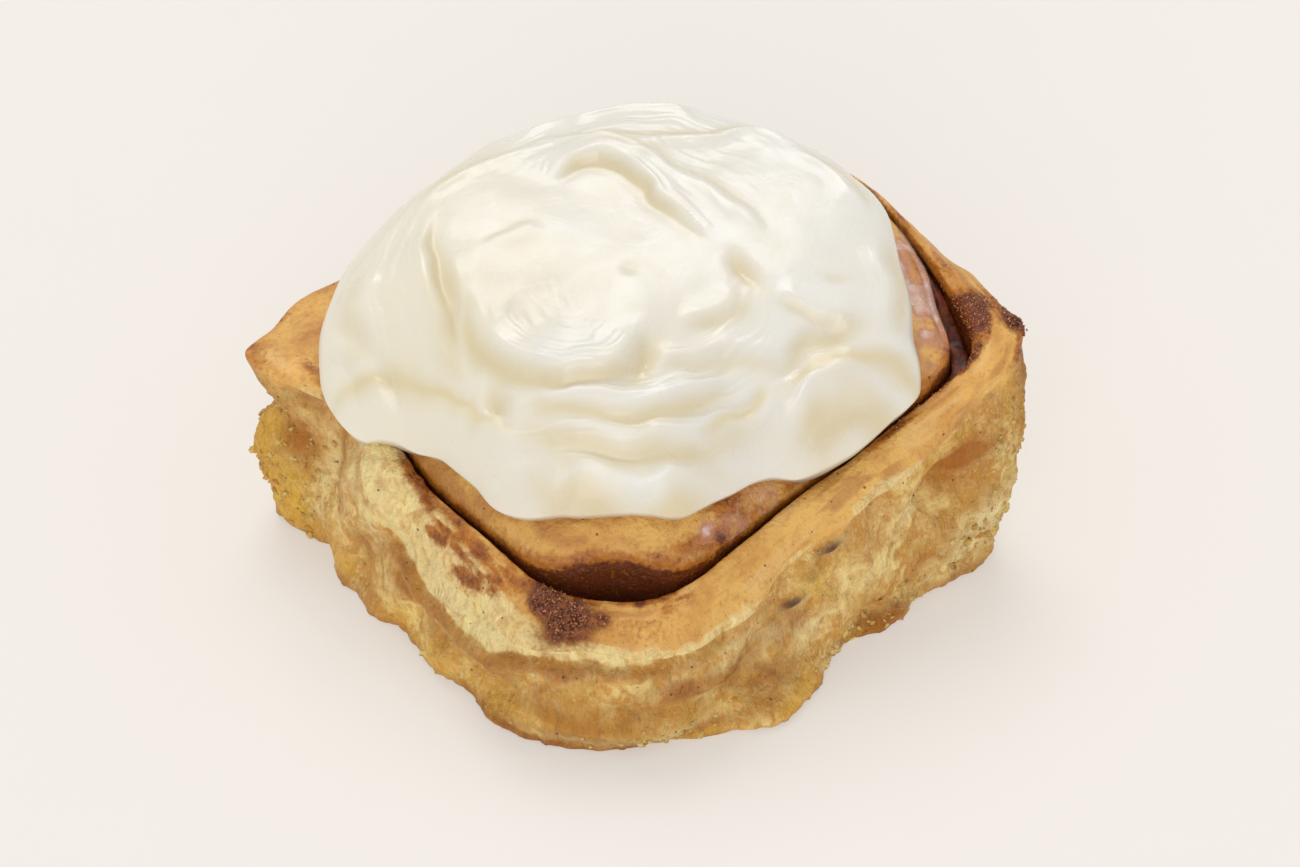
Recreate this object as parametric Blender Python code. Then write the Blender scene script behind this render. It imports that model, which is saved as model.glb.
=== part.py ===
# Frosted cinnamon roll, torn from a pan of rolls.
# One long strip of dough is wound into a squarish coil, a sheet of cinnamon filling
# lies between its turns, and a thick swirl of frosting sits on top.
# Sizes are millimetres in this file; MM turns them into Blender's metres.

import bmesh
import bpy
import numpy as np

MM = 0.001
TAU = 2 * np.pi

# The coil's own centre, seen from the origin, which is under the middle of the whole roll.
ORIGIN_SHIFT = (-1.1, -2.8)

# The plan is a rounded square. Each side: (direction it faces in degrees, distance from the centre).
SIDES = {
    "front_left": (221.8, 45.3),
    "front_right": (310.5, 45.2),
    "back_right": (33.7, 47.8),
    "back_left": (135.0, 43.5),
}
# How sharply the plan turns at each corner: direction in degrees and exponent, where 2 is round.
CORNERS = {181.5: 16.0, 264.0: 3.7, 355.0: 16.0, 80.0: 3.4}
INNER_SHARPNESS = 2.8
# How far the lip stands inside the base, as the torn sides lean: direction and distance.
LEAN = {
    0: 0.4, 20: 1.4, 60: 1.5, 120: 1.5, 160: 0.8, 175: 0.0, 181: 0.4, 186: 5.0, 191: 8.0,
    197: 6.6, 205: 4.2, 222: 3.2, 245: 2.6, 264: 1.6, 290: 2.6, 310: 3.2, 335: 2.6,
}

# Heights round the roll, direction in degrees and height. The roll slumps towards the front.
LIP_HEIGHTS = {
    0: 42.0, 14: 43.0, 34: 42.5, 60: 36.0, 83: 31.0, 110: 34.0, 135: 37.5, 150: 37.4, 160: 36.2,
    165: 35.8, 172: 34.4, 181: 33.2, 197: 29.5, 213: 22.5, 236: 18.5, 261: 19.0, 284: 18.5,
    298: 20.5, 321: 26.5, 342: 32.5, 352: 38.0,
}
INNER_EDGE_HEIGHTS = {
    0: 41.5, 10: 44.0, 28: 46.5, 45: 45.0, 60: 40.0, 83: 35.5, 110: 36.5, 135: 38.0, 150: 38.0,
    160: 36.8, 171: 35.2, 181: 34.0, 197: 30.5, 211: 27.0, 241: 25.5, 257: 23.5, 276: 23.0,
    290: 24.8, 308: 27.0, 330: 30.5, 344: 35.0,
}
RING_CROWN = 1.1
CENTRE_HEIGHT = 40.5
# How far the second turn stands above the ring's inner edge: direction and height.
COIL_RISE = {0: 3.0, 100: 3.0, 180: 2.5, 215: 1.2, 240: 1.8, 268: 4.4, 292: 2.2, 315: 1.2, 340: 2.0}
COIL_DOME = 2.4

# The coil, from the thin tail at the back: degrees wound and the share of the plan where the
# strip's inner wall lies, out of which the spiral comes.
TAIL_DIRECTION = 72.0
WINDING = {
    0: 0.968, 60: 0.88, 84: 0.80, 108: 0.745, 128: 0.80, 150: 0.825, 190: 0.83, 235: 0.785,
    262: 0.80, 285: 0.89, 302: 0.92, 330: 0.93, 362: 0.91, 420: 0.71, 470: 0.57, 580: 0.53,
    690: 0.59, 725: 0.57, 790: 0.35, 870: 0.29, 1000: 0.30, 1075: 0.27, 1140: 0.12, 1200: 0.024,
    1600: 0.024,
}
TAIL_TUCK_ANGLE = 26.0
LAST_ANGLE = 1506.0
GAP = 1.25
TAIL_GAP = 0.6
# Pits where the round second turn leaves the square ring: direction, spread in degrees, extra gap.
PITS = ((267.0, 12.0, 3.4), (358.0, 8.0, 2.4), (80.0, 12.0, 1.0))
STATION_STEP = 3.35
CLEARANCE = 0.3

# Filling sheet
FILLING_DEPTH = 1.0
PIT_DEPTH = 2.6
FILLING_STEP = 2.6
FILLING_START = 48.0
FILLING_SHORT = 6.0
FILLING_BASE = 0.6
FILLING_SUNK = 1.0

# Torn side, from the lip down. Each feature: direction, spread in degrees, height share from
# the lip (0) to the base (1), spread of that share, and how far it stands out.
TORN_FEATURES = (
    (341.0, 5.0, 0.30, 0.13, -4.2),
    (331.0, 6.0, 0.62, 0.15, 1.6),
    (340.0, 10.0, 0.97, 0.25, -3.6),
    (298.0, 8.5, 0.93, 0.14, 4.6),
    (318.0, 8.0, 0.95, 0.20, -1.6),
    (268.0, 13.0, 0.97, 0.16, -2.2),
    (278.0, 12.0, 0.55, 0.12, -1.4),
    (240.0, 13.0, 0.30, 0.12, 1.6),
    (234.0, 16.0, 0.62, 0.12, -1.6),
    (219.0, 9.0, 0.98, 0.30, -3.0),
    (203.0, 6.0, 0.80, 0.30, -2.6),
    (185.5, 8.5, 0.98, 0.34, -8.6),
    (190.0, 7.0, 0.45, 0.20, -2.4),
    (178.0, 7.0, 0.26, 0.14, -5.2),
    (172.0, 8.0, 0.75, 0.26, 1.2),
    (357.0, 7.0, 0.90, 0.22, -3.2),
    (20.0, 10.0, 0.60, 0.20, -2.2),
    (52.0, 12.0, 0.75, 0.20, 1.4),
    (88.0, 10.0, 0.35, 0.16, -2.0),
    (108.0, 12.0, 0.85, 0.15, 1.6),
    (140.0, 10.0, 0.50, 0.18, -2.6),
)
# Broad folds of the torn crumb: waves round the roll, waves down the side, phase, height.
TORN_FOLDS = ((9, 0.7, 0.4, 0.8), (17, 1.3, 2.1, 0.6), (29, -1.1, 4.0, 0.45), (41, 2.2, 1.0, 0.35))

# Frosting
FROSTING_CENTRE = (-2.0, 5.0)
FROSTING_REACH = {
    10: 42.2, 22: 39.4, 40: 37.6, 75: 38.0, 100: 38.2, 125: 37.8, 150: 38.0, 165: 41.2,
    180: 44.4, 198: 47.0, 206: 46.0, 215: 40.6, 224: 37.8, 236: 39.6, 248: 43.0, 260: 42.6,
    272: 42.0, 284: 42.0, 295: 40.2, 304: 39.4, 313: 42.4, 323: 45.6, 336: 49.0, 345: 48.4,
    356: 44.6,
}
FROSTING_THICKNESS = 14.4
FROSTING_NOSE = 3.4
FROSTING_SQUARENESS = 3.2
# Spatula strokes: points that the crest passes through, height, how far it fades on its left
# side and how far on its right.
STROKES = (
    (((-14.5, 14.0), (-11.7, 16.9), (-8.2, 19.7), (-4.4, 20.6), (-0.5, 17.3), (3.5, 12.2),
      (10.5, 4.8), (16.4, -2.6)), 1.4, 7.0, 1.6),
    (((-24.0, -12.0), (-20.5, -17.5), (-16.7, -20.6), (-12.2, -22.0), (-7.3, -22.0), (-2.9, -20.4),
      (0.5, -17.6), (3.2, -12.4)), 1.4, 1.6, 7.5),
    (((-28.0, 13.6), (-31.1, 5.5), (-31.0, -2.3), (-30.0, -9.0), (-25.2, -16.4)), 1.3, 1.7, 4.0),
    (((-15.0, -22.8), (-9.3, -24.6), (-3.0, -25.6), (5.0, -25.6), (13.5, -22.8), (21.0, -19.4)),
     1.0, 3.6, 1.5),
    (((-17.5, -30.4), (-11.2, -32.0), (-5.0, -33.8), (3.0, -34.6), (12.3, -32.2)), 1.0, 2.4, 1.6),
    (((-43.4, -12.0), (-40.6, -14.2), (-36.5, -15.4), (-32.0, -17.6), (-26.6, -21.0),
      (-20.6, -26.2), (-14.2, -28.2)), 1.1, 4.0, 1.6),
    (((22.6, -21.8), (27.2, -18.2), (31.7, -15.7), (37.2, -14.1), (43.6, -12.8)), 1.8, 2.4, 1.6),
    (((19.5, -7.2), (25.0, -8.0), (30.2, -9.8), (35.6, -12.2)), 0.7, 2.4, 1.5),
    (((-22.0, 25.0), (-14.0, 30.6), (-4.0, 33.4), (5.0, 32.4), (11.0, 27.0)), 0.8, 3.0, 1.8),
    (((-18.0, 23.6), (-7.2, 24.6), (2.0, 23.6), (12.0, 24.6), (22.0, 25.2), (29.0, 19.6)),
     0.7, 1.5, 2.4),
    (((30.0, 18.0), (35.0, 11.0), (37.6, 3.0)), 0.5, 1.8, 1.6),
)
# Share of a stroke's length over which each of its ends dies away.
STROKE_END = 0.22
# Round dimples and mounds, which have a negative depth: x, y, radius and depth.
DIMPLES = (
    (0.5, -4.3, 2.6, 0.8),
    (18.3, -5.0, 2.8, 1.4),
    (30.9, -5.6, 2.4, 0.8),
    (-18.0, -23.6, 2.4, 1.4),
    (2.2, -20.6, 3.0, 1.2),
    (37.0, -19.5, 5.2, 1.7),
    (-14.4, -10.1, 9.0, 0.7),
    (4.0, 31.0, 15.0, -3.4),
    (-36.5, -19.6, 4.0, -0.9),
    (20.0, 10.0, 9.0, -0.6),
)
FROSTING_SEGMENTS = 66
FROSTING_RINGS = 38
FROSTING_TOP_RINGS = 28


def smooth(x):
    """0 below 0, 1 above 1, and an S between."""
    x = np.clip(x, 0.0, 1.0)
    return x * x * (3 - 2 * x)


def bump(angle, centre, spread):
    """A round bump of height 1 on a circle of directions, all in degrees."""
    away = (np.asarray(angle) - centre + 180.0) % 360.0 - 180.0
    return np.exp(-((away / spread) ** 2))


def around(angle, table):
    """A smooth closed curve through (direction: value) pairs, as a periodic cubic."""
    keys = np.array(sorted(table), float)
    values = np.array([table[k] for k in sorted(table)], float)
    keys = np.concatenate([keys[-2:] - 360, keys, keys[:3] + 360])
    values = np.concatenate([values[-2:], values, values[:3]])
    slopes = np.gradient(values, keys)
    angle = np.asarray(angle, float) % 360.0
    i = np.clip(np.searchsorted(keys, angle, side="right") - 1, 0, len(keys) - 2)
    width = keys[i + 1] - keys[i]
    t = (angle - keys[i]) / width
    return (
        values[i] * (1 + 2 * t) * (1 - t) ** 2
        + slopes[i] * width * t * (1 - t) ** 2
        + values[i + 1] * t * t * (3 - 2 * t)
        + slopes[i + 1] * width * t * t * (t - 1)
    )


def plan_radius(angle, scale=1.0):
    """Distance from the centre to the rounded square, which turns rounder as scale shrinks."""
    sharpness = around(angle, CORNERS)
    inwards = smooth((0.9 - scale) / 0.4)
    sharpness = sharpness + (INNER_SHARPNESS - sharpness) * inwards
    total = 0.0
    for facing, distance in SIDES.values():
        across = np.maximum(np.cos(np.radians(angle - facing)), 0.0)
        total = total + (across / distance) ** sharpness
    return scale * total ** (-1.0 / sharpness)


def winding_scale(wound):
    """Share of the plan where the filling lies after winding this many degrees from the tail."""
    keys = sorted(WINDING)
    shares = [WINDING[k] for k in keys]
    wound = np.asarray(wound, float)
    spread = np.linspace(-16.0, 16.0, 9)
    return np.mean([np.interp(wound + shift, keys, shares) for shift in spread], axis=0)


def gap_width(angle, wound):
    """Width of the gap that the filling lies in, wider in the corner pits of the first turn."""
    extra = sum(size * bump(angle, facing, spread) for facing, spread, size in PITS)
    first_turn = smooth((wound - 60.0) / 60.0) * (1 - smooth((wound - 350.0) / 60.0))
    return TAIL_GAP + (GAP - TAIL_GAP) * smooth(wound / 80.0) + extra * first_turn


def strip_walls(wound):
    """Inner and outer wall distance of the dough strip after this many degrees of winding."""
    angle = wound + TAIL_DIRECTION
    inner = plan_radius(angle, winding_scale(wound))
    before = wound - 360.0
    tucked = plan_radius(angle, winding_scale(before)) - gap_width(angle, before)
    tuck = smooth((wound - 360.0) / TAIL_TUCK_ANGLE + 1)
    first = plan_radius(angle) + (tucked - plan_radius(angle)) * tuck
    return inner, np.where(wound < 360.0, first, tucked)


def ring_scale(angle):
    """Share of the plan where the outermost turn's inner edge lies in this direction."""
    return winding_scale((np.asarray(angle) - TAIL_DIRECTION) % 360.0)


def coil_height(angle, radius):
    """Smooth height of the coil tops, from the ring's inner edge up to the centre."""
    edge = around(angle, INNER_EDGE_HEIGHTS) + around(angle, COIL_RISE)
    share = np.clip(radius / plan_radius(angle, ring_scale(angle)), 0.0, 1.3)
    return CENTRE_HEIGHT + (edge - CENTRE_HEIGHT) * share**2.0


def ring_height(angle, across):
    """Height of the outermost turn's top from its inner edge (0) to the lip (1)."""
    inner_top = around(angle, INNER_EDGE_HEIGHTS)
    lip = around(angle, LIP_HEIGHTS)
    crown = RING_CROWN * (1 - 0.8 * bump(angle, 172.0, 14.0)) * 4 * across * (1 - across)
    return inner_top + (lip - inner_top) * across**1.4 + crown


def torn_relief(angle, down):
    """How far the torn side stands out, where down runs from the lip (0) to the base (1)."""
    out = 0.0
    for facing, spread, share, share_spread, size in TORN_FEATURES:
        out = out + size * bump(angle, facing, spread) * np.exp(-(((down - share) / share_spread) ** 2))
    for waves, dips, phase, size in TORN_FOLDS:
        out = out + size * np.sin(np.radians(angle) * waves + dips * TAU * down + phase)
    return out


def ring_section(angle, inner, outer):
    """Section of the outermost turn: inner wall, top, lip, torn side and flat base."""
    inner_top = ring_height(angle, 0.0)
    lip = ring_height(angle, 1.0)
    thin = min(1.0, (outer - inner) / 5.0)
    lean = thin * around(angle, LEAN)
    width = outer - lean - inner
    points = [(inner, 0.0), (inner, inner_top * 0.45), (inner, inner_top * 0.8)]
    points += [(inner, inner_top - 1.4), (inner + 0.06 * width, inner_top - 0.1)]
    for across in (0.22, 0.42, 0.62, 0.8, 0.93):
        points.append((inner + across * width, ring_height(angle, across)))
    for down in (0.05, 0.14, 0.26, 0.38, 0.5, 0.62, 0.74, 0.87):
        face = outer - lean * (1 - down) + thin * torn_relief(angle, down)
        points.append((face, lip * (1 - down)))
    face = outer + thin * torn_relief(angle, 1.0)
    points += [(face - 0.7 * thin, 0.7), (face - 2.2 * thin, 0.0)]
    return points


def coil_section(angle, inner, outer):
    """Section of an inner turn: two walls and a domed top, with as many points as the ring's."""
    width = outer - inner
    dome_rise = COIL_DOME * min(1.0, width / 8.0)
    edge_in = coil_height(angle, inner) - dome_rise
    edge_out = coil_height(angle, outer) - dome_rise
    points = [(inner, 0.0), (inner, edge_in * 0.5), (inner, edge_in - 1.5)]
    for across in (0.02, 0.09, 0.22, 0.4, 0.6, 0.78, 0.91, 0.98):
        dome = dome_rise * (1 - abs(2 * across - 1) ** 3.4)
        height = edge_in + (edge_out - edge_in) * across + dome
        points.append((inner + across * width, height))
    points += [(outer, edge_out - 1.5)]
    for share in (0.84, 0.7, 0.56, 0.42, 0.28, 0.16, 0.06, 0.0):
        points.append((outer, edge_out * share))
    return points


def strip_stations(step):
    """Winding angles along the strip, this distance apart on the strip's own line."""
    fine = np.linspace(0.0, LAST_ANGLE, 4000)
    inner, outer = strip_walls(fine)
    line = np.radians(np.diff(fine)) * (inner + outer)[1:] / 2
    travelled = np.concatenate([[0.0], np.cumsum(line)])
    count = int(travelled[-1] / step)
    return np.interp(np.linspace(0, travelled[-1], count), travelled, fine)


def placed(section, angle):
    """Section points (distance, height) stood up in the radial plane at this angle."""
    a = np.radians(angle)
    shift_x, shift_y = ORIGIN_SHIFT
    return [((r * np.cos(a) + shift_x) * MM, (r * np.sin(a) + shift_y) * MM, z * MM) for r, z in section]


def loft(name, sections, skin):
    """A closed solid through equally long sections, with a face at each end."""
    mesh = bmesh.new()
    rows = [[mesh.verts.new(p) for p in section] for section in sections]
    size = len(rows[0])
    for low, high in zip(rows, rows[1:]):
        for i in range(size):
            k = (i + 1) % size
            mesh.faces.new((low[i], low[k], high[k], high[i]))
    mesh.faces.new(rows[0][::-1])
    mesh.faces.new(rows[-1])
    bmesh.ops.triangulate(mesh, faces=mesh.faces[:])
    bmesh.ops.recalc_face_normals(mesh, faces=mesh.faces[:])
    return finished(name, mesh, skin)


def finished(name, mesh, skin):
    """Writes the bmesh to a new smooth-shaded object in the roll's collection."""
    data = bpy.data.meshes.new(name)
    mesh.to_mesh(data)
    mesh.free()
    data.materials.append(skin)
    data.shade_smooth()
    piece = bpy.data.objects.new(name, data)
    collection.objects.link(piece)
    return piece


def material(name, colour, roughness):
    """A Principled material with one colour."""
    made = bpy.data.materials.new(name)
    made.use_nodes = True
    shader = made.node_tree.nodes["Principled BSDF"]
    shader.inputs["Base Color"].default_value = (*colour, 1.0)
    shader.inputs["Roughness"].default_value = roughness
    return made


def make_dough():
    """The wound strip, its first turn torn on the outside and the rest domed coils."""
    sections = []
    for wound in strip_stations(STATION_STEP):
        angle = wound + TAIL_DIRECTION
        inner, outer = (float(w) for w in strip_walls(np.array(wound)))
        ring = np.array(ring_section(angle, inner, outer))
        coil = np.array(coil_section(angle, inner, outer))
        share = float(smooth((wound - 350.0) / 40.0))
        sections.append(placed(ring + (coil - ring) * share, angle))
    return loft("dough", sections, material("baked_dough", (0.62, 0.36, 0.14), 0.75))


def make_filling():
    """The sheet of cinnamon filling in the gap, sunk below the edges and deeper in the pits."""
    last = LAST_ANGLE - 360.0
    sections = []
    stations = strip_stations(FILLING_STEP)
    for wound in stations[(stations > FILLING_START) & (stations < last - FILLING_SHORT)]:
        angle = wound + TAIL_DIRECTION
        inner_wall = float(strip_walls(np.array(wound))[0])
        outer_wall = float(strip_walls(np.array(wound + 360.0))[1])
        near, far = outer_wall + CLEARANCE, inner_wall - CLEARANCE
        depth = FILLING_DEPTH + PIT_DEPTH * smooth((far - near - 1.0) / 2.4)
        inner_turns = coil_height(angle, near) - COIL_DOME
        first_turn = min(inner_turns, around(angle, INNER_EDGE_HEIGHTS) - FILLING_SUNK)
        edge = first_turn + (inner_turns - first_turn) * smooth((wound - 330.0) / 60.0)
        top = float(edge) - depth
        middle = (near + far) / 2
        section = [(near, FILLING_BASE), (near, top * 0.6), (near, top), (middle, top + 0.25)]
        section += [(far, top), (far, top * 0.6), (far, FILLING_BASE)]
        sections.append(placed(section, angle))
    return loft("filling", sections, material("cinnamon_filling", (0.10, 0.03, 0.015), 0.35))


def stroke_relief(x, y):
    """Height that the spatula strokes and dimples add to the frosting at plan points x, y."""
    relief = np.zeros_like(x)
    for cx, cy, radius, depth in DIMPLES:
        relief -= depth * np.exp(-((x - cx) ** 2 + (y - cy) ** 2) / radius**2)
    for knots, height, left_fade, right_fade in STROKES:
        away, side, share = path_distance(x, y, np.array(knots))
        fade = np.where(side > 0, left_fade, right_fade)
        ends = smooth(share / STROKE_END) * smooth((1 - share) / STROKE_END)
        relief += height * np.exp(-away / fade) * ends
    return relief


def path_distance(x, y, knots):
    """Distance to a path through the knots, its side (left is positive) and the share of it passed."""
    best = np.full(x.shape, np.inf)
    side = np.zeros(x.shape)
    share = np.zeros(x.shape)
    for k in range(len(knots) - 1):
        ux, uy = knots[k + 1] - knots[k]
        from_x, from_y = x - knots[k][0], y - knots[k][1]
        t = np.clip((from_x * ux + from_y * uy) / (ux**2 + uy**2), 0, 1)
        away = np.hypot(from_x - t * ux, from_y - t * uy)
        closer = away < best
        best = np.where(closer, away, best)
        side = np.where(closer, ux * (from_y - t * uy) - uy * (from_x - t * ux), side)
        share = np.where(closer, (k + t) / (len(knots) - 1), share)
    return best, side, share


def frosting_floor(x, y):
    """Height just above the dough tops, which the frosting rests on."""
    angle = np.degrees(np.arctan2(y, x))
    radius = np.hypot(x, y)
    coils = coil_height(angle, radius) + 0.6
    ring_edge = plan_radius(angle, ring_scale(angle))
    lip = plan_radius(angle) - around(angle, LEAN)
    across = np.clip((radius - ring_edge) / (lip - ring_edge), 0.0, 1.0)
    ring_top = ring_height(angle, across) + 0.6
    on_ring = smooth((radius - ring_edge + 1.5) / 3.0)
    return np.maximum(coils + (ring_top - coils) * on_ring, ring_top * (radius > ring_edge - 0.5))


def make_frosting():
    """A sphere's rings laid over the roll: most of them make the swirled top, the rest lie under it."""
    mesh = bmesh.new()
    bmesh.ops.create_uvsphere(
        mesh, u_segments=FROSTING_SEGMENTS, v_segments=FROSTING_RINGS, radius=1.0
    )
    ball = np.array([v.co for v in mesh.verts])
    angle = np.degrees(np.arctan2(ball[:, 1], ball[:, 0]))
    ring = np.arccos(np.clip(ball[:, 2], -1, 1)) / np.pi * FROSTING_RINGS
    over = ring / FROSTING_TOP_RINGS
    under = (FROSTING_RINGS - ring) / (FROSTING_RINGS - FROSTING_TOP_RINGS)
    is_top = over <= 1 + 1e-4
    share = np.where(is_top, np.sin(np.minimum(over, 1) * np.pi / 2) ** 0.85, under)
    reach = around(angle, FROSTING_REACH)
    x = FROSTING_CENTRE[0] + share * reach * np.cos(np.radians(angle))
    y = FROSTING_CENTRE[1] + share * reach * np.sin(np.radians(angle))
    floor = frosting_floor(x, y)
    bulk = np.sqrt(np.clip(1 - share**FROSTING_SQUARENESS, 0.0, 1.0))
    swirl = stroke_relief(x, y) * smooth((1 - share) / 0.2)
    upper = floor + FROSTING_NOSE + (FROSTING_THICKNESS - FROSTING_NOSE) * bulk + swirl
    tuck = np.clip(1 - (1 - share) * reach / 3.0, 0.0, 1.0)
    lower = floor + CLEARANCE + (FROSTING_NOSE - CLEARANCE) * (1 - np.sqrt(1 - tuck**2))
    z = np.where(is_top, upper, lower)
    for vert, px, py, pz in zip(mesh.verts, x, y, z):
        vert.co = ((px + ORIGIN_SHIFT[0]) * MM, (py + ORIGIN_SHIFT[1]) * MM, pz * MM)
    bmesh.ops.triangulate(mesh, faces=mesh.faces[:])
    bmesh.ops.recalc_face_normals(mesh, faces=mesh.faces[:])
    return finished("frosting", mesh, material("cream_frosting", (0.93, 0.90, 0.80), 0.35))


for old in list(bpy.data.objects):
    bpy.data.objects.remove(old, do_unlink=True)
collection = bpy.data.collections.new("cinnamon_roll")
bpy.context.scene.collection.children.link(collection)

make_dough()
make_filling()
make_frosting()
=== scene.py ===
# Cinnamon roll with cream frosting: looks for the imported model.
# Sizes are millimetres here and turned into metres when a mesh is written.
import math
import bmesh
import bpy
import numpy as np
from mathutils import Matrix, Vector


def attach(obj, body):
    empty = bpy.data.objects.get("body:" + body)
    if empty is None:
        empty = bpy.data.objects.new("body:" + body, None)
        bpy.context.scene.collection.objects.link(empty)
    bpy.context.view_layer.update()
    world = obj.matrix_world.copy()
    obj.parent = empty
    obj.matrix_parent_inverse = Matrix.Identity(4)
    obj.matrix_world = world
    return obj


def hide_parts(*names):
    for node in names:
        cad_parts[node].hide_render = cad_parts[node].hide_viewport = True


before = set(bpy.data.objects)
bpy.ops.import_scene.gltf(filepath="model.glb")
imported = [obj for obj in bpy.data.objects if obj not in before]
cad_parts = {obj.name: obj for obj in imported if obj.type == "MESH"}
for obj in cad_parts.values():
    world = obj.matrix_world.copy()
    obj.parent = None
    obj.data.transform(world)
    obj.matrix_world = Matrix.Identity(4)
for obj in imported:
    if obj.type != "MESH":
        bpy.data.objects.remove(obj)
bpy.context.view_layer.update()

mm = 0.001
fullTurn = 2 * np.pi
print("frame loaded")


# Plain helpers: easing, tables round the roll, noise

def ease(x):
    # 3x^2 - 2x^3, held at 0 and 1
    x = np.clip(x, 0.0, 1.0)
    return x * x * (3 - 2 * x)


def bump(angle, centre, spread):
    # exp(-(turn away / spread)^2) on a circle of degrees
    away = (np.asarray(angle) - centre + 180.0) % 360.0 - 180.0
    return np.exp(-((away / spread) ** 2))


def spot(angle, v, place):
    # strength * exp(-(turn away / spread)^2) * exp(-((v - share) / its spread)^2)
    facing, spreadOf, share, shareSpread, strength = place
    return strength * bump(angle, facing, spreadOf) * np.exp(-(((v - share) / shareSpread) ** 2))


def around(angle, table):
    # periodic cubic through (direction: value) pairs
    keys = np.array(sorted(table), float)
    values = np.array([table[k] for k in sorted(table)], float)
    keys = np.concatenate([keys[-2:] - 360, keys, keys[:3] + 360])
    values = np.concatenate([values[-2:], values, values[:3]])
    slopes = np.gradient(values, keys)
    angle = np.asarray(angle, float) % 360.0
    i = np.clip(np.searchsorted(keys, angle, side="right") - 1, 0, len(keys) - 2)
    width = keys[i + 1] - keys[i]
    t = (angle - keys[i]) / width
    return (values[i] * (1 + 2 * t) * (1 - t) ** 2 + slopes[i] * width * t * (1 - t) ** 2
            + values[i + 1] * t * t * (3 - 2 * t) + slopes[i + 1] * width * t * t * (t - 1))


def scramble(ix, iy, iz, seed):
    # a whole-number hash of a lattice cell, as a share from 0 to 1
    h = (ix.astype(np.uint32) * np.uint32(374761393) + iy.astype(np.uint32) * np.uint32(668265263)
         + iz.astype(np.uint32) * np.uint32(2246822519) + np.uint32(seed * 7919 + 17))
    h = (h ^ (h >> np.uint32(13))) * np.uint32(1274126177)
    h = (h ^ (h >> np.uint32(15))) * np.uint32(2654435761)
    return (h ^ (h >> np.uint32(16))).astype(np.float64) / 4294967295.0


def softNoise(p, size, seed):
    # value noise from -1 to 1: hashed corners of a lattice, blended with 6t^5 - 15t^4 + 10t^3
    q = np.asarray(p) / size
    cell = np.floor(q).astype(np.int64)
    f = q - cell
    f = f * f * f * (f * (f * 6 - 15) + 10)
    total = 0.0
    for dx in (0, 1):
        for dy in (0, 1):
            for dz in (0, 1):
                weight = ((f[..., 0] if dx else 1 - f[..., 0]) * (f[..., 1] if dy else 1 - f[..., 1])
                          * (f[..., 2] if dz else 1 - f[..., 2]))
                corner = scramble(cell[..., 0] + dx, cell[..., 1] + dy, cell[..., 2] + dz, seed)
                total = total + weight * corner
    return total * 2 - 1


def layeredNoise(p, size, seed, layers=3, gain=0.5):
    # softNoise summed at size, size/2, size/4..., each weaker by gain
    total, weight, full = 0.0, 1.0, 0.0
    for i in range(layers):
        total = total + weight * softNoise(p, size / 2**i, seed + i * 31)
        full += weight
        weight *= gain
    return total / full


def ridgeNoise(p, size, seed, layers=2):
    # 1 - 2|noise|: sharp crests, round hollows
    return 1 - 2 * np.abs(layeredNoise(p, size, seed, layers))


def cellNoise(p, size, seed):
    # distance to the nearest jittered lattice point, in cells
    q = np.asarray(p) / size
    cell = np.floor(q).astype(np.int64)
    best = np.full(q.shape[:-1], 9.0)
    for dx in (-1, 0, 1):
        for dy in (-1, 0, 1):
            for dz in (-1, 0, 1):
                cx, cy, cz = cell[..., 0] + dx, cell[..., 1] + dy, cell[..., 2] + dz
                away = ((cx + scramble(cx, cy, cz, seed) - q[..., 0]) ** 2
                        + (cy + scramble(cx, cy, cz, seed + 5) - q[..., 1]) ** 2
                        + (cz + scramble(cx, cy, cz, seed + 9) - q[..., 2]) ** 2)
                best = np.minimum(best, away)
    return np.sqrt(best)


# Mesh helpers

def gridQuads(rows, columns):
    # quads of a grid closed round its columns, whose point (i, j) has number i * columns + j
    i, j = np.meshgrid(np.arange(rows - 1), np.arange(columns), indexing="ij")
    k = (j + 1) % columns
    corners = [i * columns + j, i * columns + k, (i + 1) * columns + k, (i + 1) * columns + j]
    return np.stack(corners, -1).reshape(-1, 4)


def tubeEnds(rows, columns):
    # the two end faces of such a grid
    return [np.arange(columns)[::-1], np.arange(columns) + (rows - 1) * columns]


def outward(points, faces):
    # +1 where the faces already enclose a positive volume, -1 where they are inside out
    a, b, c = (points[faces[:, k]] for k in (0, 1, 2))
    volume = np.einsum("ij,ij->", a, np.cross(b, c))
    if faces.shape[1] == 4:
        volume += np.einsum("ij,ij->", a, np.cross(c, points[faces[:, 3]]))
    return 1 if volume > 0 else -1


def gridNormals(points):
    # cross product of the two grid directions, turned outwards
    along = np.gradient(points, axis=0)
    across = np.roll(points, -1, axis=1) - np.roll(points, 1, axis=1)
    normal = np.cross(along, across)
    normal = normal / np.maximum(np.linalg.norm(normal, axis=-1, keepdims=True), 1e-9)
    return normal * outward(points.reshape(-1, 3), gridQuads(*points.shape[:2]))


def greyMask(values):
    # one mask as an RGBA value: red = the value, alpha = 1
    return np.stack([values, 0 * values, 0 * values, 0 * values + 1], -1)


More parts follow.
